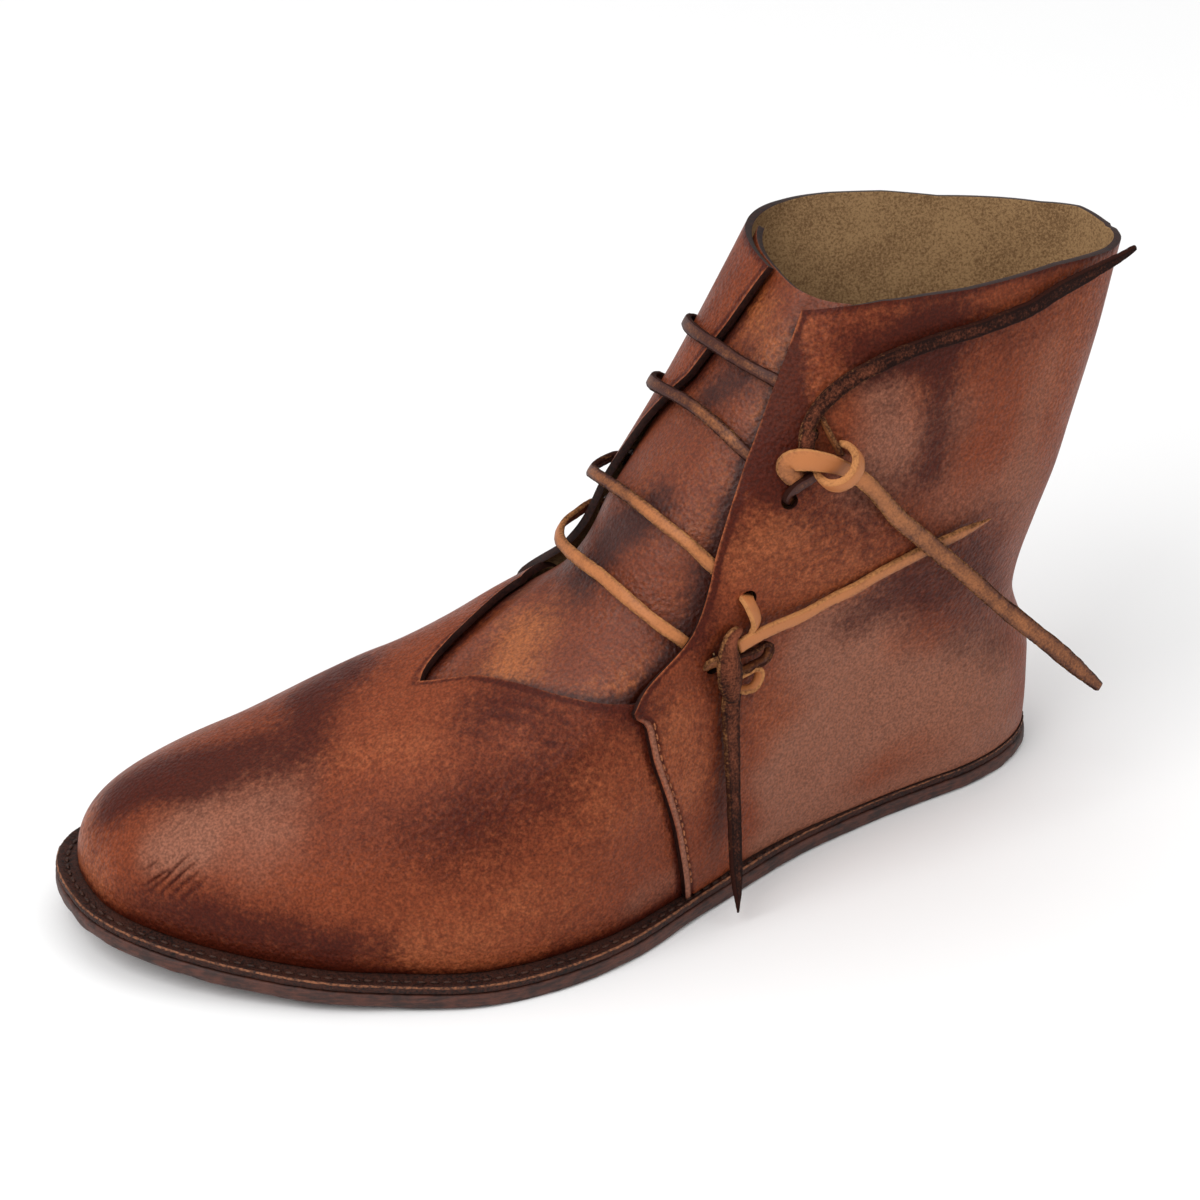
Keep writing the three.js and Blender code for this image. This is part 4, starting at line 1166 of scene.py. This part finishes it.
def leather_sheet(name, points, leather, marks, thickness, holes=()):
    """A sheet from a grid of its outer points, with holes, its wall inwards and rounded edges."""
    rows, columns = points.shape[:2]
    flat = points.reshape(-1, 3)
    faces = facing(flat, grid_faces(rows, columns), outward(flat))
    piece = new_piece(name, flat, faces, [leather, flesh, dark_edge, cut_edge])
    paint(piece, "marks", marks)
    shape = bmesh.new()
    shape.from_mesh(piece.data)
    bmesh.ops.remove_doubles(shape, verts=shape.verts, dist=0.00002)
    for along, high, side in holes:
        open_hole(shape, form_point(along, high, side))
    shape.to_mesh(piece.data)
    shape.free()
    wall = {
        "thickness": thickness * MM,
        "offset": -1,
        "material_offset": 1,
        "material_offset_rim": 2,
    }
    rim = {
        "width": SHEET_EDGE * MM,
        "segments": 2,
        "limit_method": "ANGLE",
        "angle_limit": SHARP,
        "material": 3,
    }
    finish_with(piece, ("SOLIDIFY", wall), ("BEVEL", rim))
    return piece


def open_hole(shape, centre):
    """Cuts a round hole: finer faces near it, those inside gone, and the edge set on the circle."""
    place = Vector(put(centre))
    axis = Vector(outward(centre[None])[0])
    radius = HOLE_RADIUS * MM
    finer_within = 2.6 * radius
    near = [e for e in shape.edges if all((v.co - place).length < finer_within for v in e.verts)]
    bmesh.ops.subdivide_edges(shape, edges=near, cuts=2, use_grid_fill=True)
    inside = [f for f in shape.faces if (f.calc_center_median() - place).length < radius]
    bmesh.ops.delete(shape, geom=inside, context="FACES")
    for vert in shape.verts:
        if vert.is_boundary and (vert.co - place).length < 1.5 * radius:
            way = vert.co - place
            flat = way - axis * way.dot(axis)
            vert.co += flat.normalized() * (radius - flat.length)


def steps_between(*runs):
    """Shares along a side: each run is from, to and the number of steps."""
    parts = [np.linspace(a, b, n, endpoint=False) for a, b, n in runs]
    return np.concatenate([*parts, [runs[-1][1]]])


# Vamp
VAMP_ROWS = 156
CREASED = (0.2, 0.34)
CREASED_DENSITY = 4
CAP_COLUMNS = 112
BODY_COLUMNS = 70
# Strength of the painted shade in the vamp's creases
CREASE_DARKNESS = 1.2


def vamp_grid():
    corners = np.array(VAMP_EDGE)[:, 0]
    spans = np.diff(corners)
    runs = []
    for a, s in zip(corners, spans):
        finer = CREASED_DENSITY if CREASED[0] < a + s / 2 < CREASED[1] else 1
        runs.append((a, a + s, max(2, round(VAMP_ROWS * s * finer))))
    turns = steps_between(*runs)
    back = vamp_back(turns)[:, None]
    cap = FOOT_LENGTH - TOE_CAP
    share = np.linspace(0, 1, BODY_COLUMNS, endpoint=False)[None, :]
    body = mix(back, cap, share)
    bend = np.sin(math.pi / 2 * np.linspace(0, 1, CAP_COLUMNS + 1))[None, :]
    tip = cap + TOE_CAP * np.broadcast_to(bend, (len(turns), CAP_COLUMNS + 1))
    x = np.concatenate([body, tip], 1)
    return arch_point(x, turns[:, None]), np.broadcast_to(turns[:, None], x.shape), x


vamp_points, vamp_turns, vamp_x = vamp_grid()
flat_points = vamp_points.reshape(-1, 3)
vamp_marks = marks_at(flat_points)
# Painted shade in the creases, darker where they are deeper
vamp_marks[:, DARK] += CREASE_DARKNESS * np.clip(-relief(flat_points, swells=()), 0, 1)
edge_distance = (vamp_x - vamp_back(vamp_turns)).ravel()
# Behind the vamp's back edge: a darker band, and a painted highlight along the rounded edge itself
shade(vamp_marks, DARK, 0.8, edge_distance - 1.6, 1.2)
shade(vamp_marks, WARM, 0.9, edge_distance, 0.7)
# Painted shadow on the vamp along the quarters' front edges, where they lap over it
highs = np.linspace(FEATHER_HEIGHT, LAP_TOP, 24)
for side in (1, -1):
    in_front, _ = near_line(flat_points, form_point(front_along(highs, side), highs, side))
    shade(vamp_marks, DARK, 1.0, in_front, 1.2)
low = flat_points[:, 2] - rise(flat_points[:, 0]) - FEATHER_HEIGHT
shade(vamp_marks, DARK, 0.9, low, 2.2)
shaped = offset(flat_points, relief(flat_points)).reshape(vamp_points.shape)
vamp = leather_sheet("vamp", shaped, upper_leather, vamp_marks, LEATHER)

# Quarters
QUARTER_UP = steps_between((0, 0.02, 3), (0.02, 0.97, 100), (0.97, 1, 9))
QUARTER_ROUND = steps_between(
    (-1, -0.955, 22), (-0.955, 0, 112), (0, 0.955, 112), (0.955, 1, 22)
)
BEAD_AT = 1.2
STITCH_AT = 2.7
LAP_TO = 69.0
LAP_TO_FADE = 5.0
STITCHED_TO = 65.0


def quarter_rise(x, z, side):
    near = 1 - ease((front_along(z, side) - x) / LAP_FADE)
    low = 1 - ease((z - LAP_TOP) / LAP_TOP_FADE)
    return near * mix(EDGE_LIFT, LAP_RISE, low)


def quarter_place(up, around):
    """Place on the quarters: point on the form, how far it stands off, height and edge distance."""
    up, around = np.broadcast_arrays(up, around)
    side = np.where(around < 0, 1, -1)
    reach = np.abs(around)
    waves = [np.interp(reach, *zip(*table)) for table in (LATERAL_WAVE, MEDIAL_WAVE)]
    wave = np.where(side > 0, *waves)
    z = mix(FEATHER_HEIGHT, COLLAR_HEIGHT, up)
    for _ in range(4):
        angle = np.where(side > 0, front_round[1](z), front_round[-1](z))
        x = round_along(angle * reach, z)
        z = mix(FEATHER_HEIGHT, collar_at(x) + wave, up)
    return form_point(x, z, side), quarter_rise(x, z, side), z, collar_at(x) + wave - z


quarter_form, quarter_out, quarter_z, below_rim = quarter_place(
    QUARTER_UP[:, None], QUARTER_ROUND[None, :]
)
# Distances on the quarters: along each row, from the nearer front edge, from the heel seam
columns_apart = np.linalg.norm(np.diff(quarter_form, axis=1), axis=-1)
gone = np.concatenate([np.zeros((len(QUARTER_UP), 1)), np.cumsum(columns_apart, axis=1)], 1)
behind = np.minimum(gone, gone[:, -1:] - gone)
from_back = np.abs(gone - gone[:, [len(QUARTER_ROUND) // 2]])
# Relief: a bead along the lap with a groove for its stitches, and the heel seam
lap = ease((LAP_TO - quarter_z) / LAP_TO_FADE)
bead = 0.25 * bell(behind - BEAD_AT, 0.8)
bead -= 0.45 * bell(behind - STITCH_AT, 0.55)
seam = 0.3 * bell(from_back - 1.6, 1.0) - 0.5 * bell(from_back, 0.7)
flat_points = quarter_form.reshape(-1, 3)
moved = quarter_out.ravel() + relief(flat_points) + (bead * lap + seam).ravel()
quarter_surface = offset(flat_points, moved).reshape(quarter_form.shape)
# Tones along the edges, the lap, the heel seam and the rim
quarter_marks = marks_at(flat_points)
from_edge = behind.ravel()
lapped = lap.ravel()
# Above the lap, the front edges get a darker band behind the edge and, lighter and warmer at the edge
# itself, a painted highlight on its rounded corner
edge_dark_and_highlight = 0.9 * bell(from_edge - 1.4, 0.9) - 0.5 * bell(from_edge, 0.5)
quarter_marks[:, DARK] += edge_dark_and_highlight * (1 - lapped)
shade(quarter_marks, WARM, 0.8, from_edge, 0.6, 1 - lapped)
# Painted shade in the lap's stitch groove
shade(quarter_marks, DARK, 0.9, from_edge - STITCH_AT, 0.7, lapped)
shade(quarter_marks, GREY, 1.1, from_edge - BEAD_AT, 1.1, lapped)
shade(quarter_marks, DARK, -0.5, from_edge - 0.8, 0.6, lapped)
shade(quarter_marks, DARK, 0.8, from_back.ravel(), 1.2)
shade(quarter_marks, DARK, 0.8, below_rim.ravel(), 1.3)
quarters = leather_sheet("quarters", quarter_surface, upper_leather, quarter_marks, LEATHER, HOLES)

# Tongue
TONGUE_ROWS = 110
TONGUE_COLUMNS = 90
RIDGE_LIMIT = 0.999
CREST = [(187.8, 2.1, 65.5), (175.0, -0.5, 71.1), (161.6, -4.2, 76.1), (151.3, -7.4, 80.7)]
TONGUE_MARKS = [
    # Painted shadow along the near quarter's edge, at the top
    (DARK, 0.9, 6, [(104, 139, 1), (110, 132, 1)]),
    (DARK, 1.2, 8, [(130, 107, 1), (139, 97, 1), (146, 88, 1)]),
    (WARM, 0.9, 9, [(173, 73, 1), (162, 77, 1)]),
    (WARM, 0.9, 9, [(88, 150, -1), (93, 142, 1), (99, 136, 1)]),
    (WARM, 0.3, 8, [(116, 118, 1), (122, 108, 1)]),
    (WARM, 0.5, 8, [(150, 74, 1), (160, 70, 1)]),
    # Painted shadow along the front edges of the near and the far quarter
    (DARK, 0.6, 6, [(104, 128, 1), (112, 116, 1), (120, 102, 1), (131, 86, 1), (140, 74, 1)]),
    (DARK, 0.5, 7, [(134, 98, -1), (146, 84, -1)]),
    (GREY, 0.7, 6, [(182, 66, -1), (168, 71, -1), (156, 76, -1)]),
]


def tongue_grid():
    up = np.linspace(0, 1, TONGUE_ROWS)[:, None]
    turn = mix(tongue_low(up), tongue_high(up), np.linspace(0, 1, TONGUE_COLUMNS)[None, :])
    top = np.full_like(turn, ridge_along(COLLAR_HEIGHT))
    for _ in range(8):
        need = (collar_at(top) - FEATHER_HEIGHT) / np.sin(math.pi * turn)
        top = ridge_along(FEATHER_HEIGHT + need)
    x = mix(TONGUE_ROOT, top, up)
    across = np.clip((turn - open_low(up)) / (open_high(up) - open_low(up)), 0, 1)
    face = -TONGUE_DROP + TONGUE_BULGE * np.sin(math.pi * across) * ease((up - 0.15) / 0.35)
    return arch_point(x, turn), face


def even_across(points, values):
    """Each row's places at even steps along the row, without those on the ridge line itself."""
    made = []
    for row, value in zip(points, values):
        kept = taken(row[:, 0], row[:, 2] - rise(row[:, 0])) < RIDGE_LIMIT
        gone = way_along(row[kept])
        at = np.linspace(0, gone[-1], len(row))
        made.append([np.interp(at, gone, k) for k in (*row[kept].T, value[kept])])
    made = np.array(made).transpose(0, 2, 1)
    return made[..., :3], made[..., 3]


tongue_form, tongue_face = even_across(*tongue_grid())
flat_points = tongue_form.reshape(-1, 3)
crest_distance, crest_share = near_line(flat_points, CREST)
crest = 1.0 * bell(crest_distance, 2.6) - 0.4 * bell(crest_distance - 5.5, 2.5)
crest *= np.sin(math.pi * np.clip(crest_share, 0.05, 0.95)) ** 0.5
tongue_surface = offset(flat_points, tongue_face.ravel() + crest).reshape(tongue_form.shape)
tongue_marks = marks_at(flat_points, TONGUE_MARKS)
# Painted shadow on the tongue along the quarters' front edges above the lap
highs = np.linspace(LAP_TOP, COLLAR_HEIGHT - 4, 40)
for side in (1, -1):
    under_edge, _ = near_line(flat_points, form_point(front_along(highs, side), highs, side))
    shade(tongue_marks, DARK, 1.0, under_edge, 2.8)
# Painted shadow on the tongue under the vamp's back edge
turns = np.linspace(0.3, 0.66, 40)
under_edge, _ = near_line(flat_points, arch_point(vamp_back(turns), turns))
shade(tongue_marks, DARK, 1.1, under_edge, 3.0)
tongue = leather_sheet("tongue_sheet", tongue_surface, tongue_leather, tongue_marks, TONGUE_LEATHER)


# Sole
def outline(moved, stations):
    """Lateral and medial halves of the sole's edge in plan, moved out."""
    heel = back_along(FEATHER_HEIGHT)
    x = mix(heel, FOOT_LENGTH, (1 - np.cos(np.linspace(0, math.pi, stations + 1))) / 2)
    halves = [form_point(x, FEATHER_HEIGHT, side)[:, :2] for side in (1, -1)]
    made = []
    for k, points in enumerate(halves):
        other = halves[1 - k]
        before = np.vstack([other[1], points[:-1]])
        after = np.vstack([points[1:], other[-2]])
        out = unit(np.column_stack([before[:, 1] - after[:, 1], after[:, 0] - before[:, 0]]))
        reach = moved(points[:, 0]) * (1 if k == 0 else -1)
        made.append(points + out * reach[:, None])
    return made


def ledge(x):
    return mix(LEDGE_AT_HEEL, LEDGE_AT_TOE, ease((x - LEDGE_FROM) / LEDGE_OVER))


def loop(moved, level, stations):
    """Closed line round the sole at a level: moved out, with the sole's bend."""
    lateral, medial = outline(moved, stations)
    plan = np.vstack([lateral, medial[1:-1][::-1]])
    return np.column_stack([plan, level + rise(plan[:, 0])])


def out_by(share, shift, inset=0.0):
    """How far out of the form a line of the sole runs: a share of the ledge, and a shift."""

    def at(x):
        return (ledge(x) - inset) * share + shift

    return at


PLATE_STATIONS = 150
PLATE_ACROSS = 24


def plate_piece(name, walls, material, seed):
    """A plate with the sole's bend, from its walls."""
    rng = np.random.default_rng(seed)
    points = []
    faces = []
    stations = PLATE_STATIONS
    across = PLATE_ACROSS
    count = 2 * stations
    for share, shift, level, rough in walls:
        ring = loop(out_by(share, shift), level, stations)
        normal = unit(ring - ring.mean(0))
        wave = rng.normal(0, 1, count)
        wave = (wave + np.roll(wave, 1) + np.roll(wave, -1)) / 1.7
        ring[:, :2] += normal[:, :2] * (wave * rough)[:, None]
        ring[:, 2] += np.abs(rng.normal(0, 1, count)) * rough * 0.3
        points.append(ring)
    for k in range(len(walls) - 1):
        base = k * count
        for i in range(count):
            m = (i + 1) % count
            faces.append((base + i, base + m, base + count + m, base + count + i))
    start = len(walls) * count
    for ring, flip in ((points[0], True), (points[-1], False)):
        lateral = ring[: stations + 1]
        medial = np.vstack([ring[0], ring[: stations : -1], ring[stations]])
        share = np.linspace(0, 1, across + 1)[None, 1:-1, None]
        inner = mix(lateral[1:-1, None], medial[1:-1, None], share)
        points.append(inner.reshape(-1, 3))
        edge_base = 0 if flip else (len(walls) - 1) * count

        def index(i, j, edge_base=edge_base, start=start):
            if i in (0, stations) or j == 0:
                return edge_base + i
            if j == across:
                return edge_base + (count - i) % count
            return start + (i - 1) * (across - 1) + j - 1

        for i in range(stations):
            for j in range(across):
                corners = [index(i, j), index(i + 1, j), index(i + 1, j + 1), index(i, j + 1)]
                faces.append([c for n, c in enumerate(corners) if c != corners[n - 1]])
        start += (stations - 1) * (across - 1)
    piece = new_piece(name, np.vstack(points), faces, [material])
    turn_outwards(piece)
    return piece


def layered_leather(name, dark, light):
    """Cut sole leather, with streaks along its layers."""
    material, tree, shader = new_material(name)
    place = object_place(tree)
    layers = add(tree, "ShaderNodeMapping", None, Vector=place, Scale=(0.25, 0.25, 1.6)).outputs[0]
    streaks = noise(tree, layers, 700.0, 4.0, 0.7)
    grit = noise(tree, place, 240.0, 4.0, 0.65)
    level = calc(tree, "ADD", streaks, swing(tree, grit, 0.8))
    share = spread(tree, level, 0.3, 0.72)
    tree.links.new(blend(tree, share, colour(dark), colour(light)), shader.inputs["Base Color"])
    bump(tree, shader, level, 0.0003)
    shader.inputs["Roughness"].default_value = 0.62
    return material


outsole_side = layered_leather("outsole_leather", "26100a", "532a1d")
welt_leather = rough_leather("welt_leather", "422015", "120705", 1200.0, 0.0005, 0.6)
# Lighter welt leather: a painted highlight along the welt's rounded top edge
rubbed_welt = rough_leather("rubbed_welt", "8a5638", "2c140c", 900.0, 0.0003, 0.5)
insole_leather = rough_leather("insole_leather", "9a7c54", "574128", 700.0, 0.0002, 0.8)
thread = rough_leather("thread", "b06a40", "4a1d12", 1600.0, 0.0001, 0.5)
dark_thread = rough_leather("dark_thread", "44261a", "160a07", 1600.0, 0.0002, 0.5)

PAD_EDGE = -WELT_REACH - AIR_GAP
INSOLE_EDGE = -LEATHER - 2 * AIR_GAP
# Walls of the plates: share of the ledge, shift, level, roughness
OUTSOLE_WALLS = [
    (1, -1.6, 0.0, 0.0),
    (1, -0.5, 0.05, 0.16),
    (1, -0.15, 0.5, 0.12),
    (1, 0, 1.3, 0.03),
    (1, 0, 2.4, 0.03),
    (1, -0.1, 3.4, 0.03),
    (1, -0.4, 3.9, 0.03),
    (1, -0.9, 4.0, 0.0),
    (0, PAD_EDGE, 4.0, 0.0),
    (0, PAD_EDGE, WELT_TOP, 0.0),
]
INSOLE_WALLS = [
    (0, INSOLE_EDGE, FEATHER_HEIGHT, 0.0),
    (0, INSOLE_EDGE, FEATHER_HEIGHT + 1.6, 0.0),
    (0, INSOLE_EDGE - 0.5, FEATHER_HEIGHT + INSOLE_THICKNESS, 0.0),
]
outsole = plate_piece("outsole_plate", OUTSOLE_WALLS, outsole_side, 2)
insole = plate_piece("insole_plate", INSOLE_WALLS, insole_leather, 3)
WELT_STATIONS = 420
# Row of the welt's profile whose faces take the painted highlight
HIGHLIGHT_ROW = 3
# Profile of the welt: share of the ledge, shift, level above its underside, roughness
WELT_PROFILE = [
    (1, -0.4, 0.0, 0.05),
    (1, 0, 0.5, 0.08),
    (1, 0.05, 1.2, 0.08),
    (1, 0, 1.9, 0.08),
    (1, -0.35, 2.35, 0.05),
    (0.82, 0, 2.38, 0.08),
    (0.62, 0, 2.05, 0.12),
    (0.4, 0, 1.95, 0.12),
    (0.2, 0, 2.25, 0.1),
    (0, -0.6, WELT_THICKNESS, 0.03),
    (0, -WELT_REACH, WELT_THICKNESS, 0.0),
    (0, -WELT_REACH, 0.0, 0.0),
]


def welt_ring():
    """The welt: a ring with a rounded edge, and a rough top with a channel for the stitches."""
    rng = np.random.default_rng(4)
    count = 2 * WELT_STATIONS
    rings = []
    for share, shift, level, rough in WELT_PROFILE:
        ring = loop(out_by(share, shift, WELT_INSET), WELT_BOTTOM + level, WELT_STATIONS)
        ring += rng.normal(0, 1, ring.shape) * rough * np.array([1, 1, 0.7])
        rings.append(ring)
    faces = []
    slots = []
    for k in range(len(rings)):
        n = (k + 1) % len(rings)
        for i in range(count):
            m = (i + 1) % count
            faces.append((k * count + i, k * count + m, n * count + m, n * count + i))
            slots.append(int(k == HIGHLIGHT_ROW))
    piece = new_piece("welt_ring", np.vstack(rings), faces, [welt_leather, rubbed_welt], slots)
    turn_outwards(piece)
    return piece


welt = welt_ring()


# Stitches
def stitch_row(name, places, directions, outs, size, material):
    """A row of stitches: one short rounded stitch, copied to each place and joined."""
    bpy.ops.object.select_all(action="DESELECT")
    bpy.ops.mesh.primitive_uv_sphere_add(segments=8, ring_count=6, radius=1)
    model = bpy.context.active_object
    model.data.materials.append(material)
    bpy.ops.object.shade_smooth()
    copies = []
    long, wide, high = size
    for place, way, out in zip(places, directions, outs):
        out = unit(out - way * (way @ out))
        turn = np.column_stack([way * long, np.cross(out, way) * wide, out * high]) * MM
        copy = model.copy()
        copy.data = model.data.copy()
        matrix = Matrix(turn.tolist()).to_4x4()
        matrix.translation = put(place)
        copy.data.transform(matrix)
        bpy.context.scene.collection.objects.link(copy)
        copies.append(copy)
    bpy.data.objects.remove(model)
    for copy in copies:
        copy.select_set(True)
    bpy.context.view_layer.objects.active = copies[0]
    bpy.ops.object.join()
    piece = bpy.context.active_object
    piece.name = name
    piece.select_set(False)
    return piece


def along_surface(line, out, spacing):
    """Even places along a line of points, with their directions."""
    gone = way_along(line)
    at = np.arange(spacing / 2, gone[-1], spacing)
    step = 0.3
    ways = read_at(at + step, gone, line) - read_at(at - step, gone, line)
    return read_at(at, gone, line), unit(ways), unit(read_at(at, gone, out))


def seam_line(side):
    """The side seam's stitch line on the quarter's surface."""
    line = []
    for row in range(len(QUARTER_UP)):
        if quarter_z[row, 0 if side > 0 else -1] > STITCHED_TO:
            break
        k = np.arange(len(QUARTER_ROUND))
        half = k < len(k) // 2 if side > 0 else k >= len(k) // 2
        span = behind[row][half]
        order = np.argsort(span)
        surface = quarter_surface[row][half][order]
        line.append([np.interp(STITCH_AT, span[order], surface[:, c]) for c in range(3)])
    return np.array(line[4:])


WELT_STITCHES_FROM = 95
stitches = []
for side, name in ((1, "near_seam_stitches"), (-1, "far_seam_stitches")):
    line = seam_line(side)
    rows = along_surface(line, outward(line), 2.9)
    stitches.append(stitch_row(name, *rows, (1.1, 0.42, 0.42), thread))

back_rows = np.arange(8, 62)
back_line = quarter_surface[back_rows, len(QUARTER_ROUND) // 2]
places, ways, outs = along_surface(back_line, outward(back_line), 2.4)
sideways = np.tile([0.0, 1.0, 0.0], (len(places), 1))
places += outs * 0.3
stitches.append(stitch_row("heel_seam_stitches", places, sideways, outs, (1.9, 0.45, 0.4), dark_thread))

welt_line = loop(out_by(0.5, 0, WELT_INSET), WELT_TOP - 0.3, 300)
welt_line = np.vstack([welt_line, welt_line[:1]])
welt_out = np.tile([0.0, 0.0, 1.0], (len(welt_line), 1))
rows = along_surface(welt_line, welt_out, 3.4)
wide_enough = rows[0][:, 0] > WELT_STITCHES_FROM
kept = [row[wide_enough] for row in rows]
stitches.append(stitch_row("welt_stitches", *kept, (1.35, 0.6, 0.5), dark_thread))

# Floor and lights
bpy.ops.mesh.primitive_plane_add(size=8, location=(0, 0, -0.0002))
floor = bpy.context.active_object
floor.name = "floor"
floor_material, tree, shader = new_material("pale_floor")
shader.inputs["Base Color"].default_value = (0.93, 0.93, 0.93, 1)
shader.inputs["Roughness"].default_value = 0.9
shader.inputs["Specular IOR Level"].default_value = 0.1
floor.data.materials.append(floor_material)
floor.select_set(False)

world = bpy.data.worlds.new("studio")
bpy.context.scene.world = world
world.use_nodes = True
sky = world.node_tree.nodes["Background"].inputs
sky["Color"].default_value = (1, 1, 1, 1)
sky["Strength"].default_value = 0.55
bpy.context.scene.view_settings.view_transform = "Standard"


def soft_light(name, azimuth, elevation, distance, size, power):
    """A square light that faces the boot."""
    way = direction(azimuth, elevation)
    data = bpy.data.lights.new(name, "AREA")
    data.size = size
    data.energy = power
    light = bpy.data.objects.new(name, data)
    light.location = way * distance
    light.rotation_euler = way.to_track_quat("Z", "Y").to_euler()
    bpy.context.scene.collection.objects.link(light)


# Lights: name, azimuth, elevation, distance, size, power
LIGHTS = [("key", 70, 50, 1.6, 1.1, 15), ("fill", -35, 35, 1.8, 1.3, 5), ("top", 200, 75, 1.7, 1.4, 8)]
for row in LIGHTS:
    soft_light(*row)

# What each piece stands for, and what it rides on
KNOT_PIECES = {
    "knot_upper": [name for name in knots if "high" in name],
    "knot_lower": [name for name in knots if "low" in name],
}
cords_of = {"knot_upper": ("lace_end_1", "lace_end_2"), "knot_lower": ("lace_end_3", "lace_end_4")}
for node, names in KNOT_PIECES.items():
    for name in names:
        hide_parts(node)
for name, piece in bars.items():
    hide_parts(name)
for piece in (vamp, quarters):
    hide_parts("upper")
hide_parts("tongue")
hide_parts("outsole")
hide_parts("insole")
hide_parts("welt")
for name, (piece, path, length) in ends.items():
    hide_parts(name)

slots = {
    "upper_leather": [vamp, quarters],
    "tongue_leather": [tongue],
    "sole_leather": [outsole],
    "welt_leather": [welt],
    "flesh_leather": [insole],
    "thong_leather": [*bars.values(), *knots.values(), *(e[0] for e in ends.values())],
}
for piece in sum(slots.values(), []) + stitches:
    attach(piece, "root")

for node, names in cords_of.items():
    for k, name in enumerate(names):
        piece, path, length = ends[name]
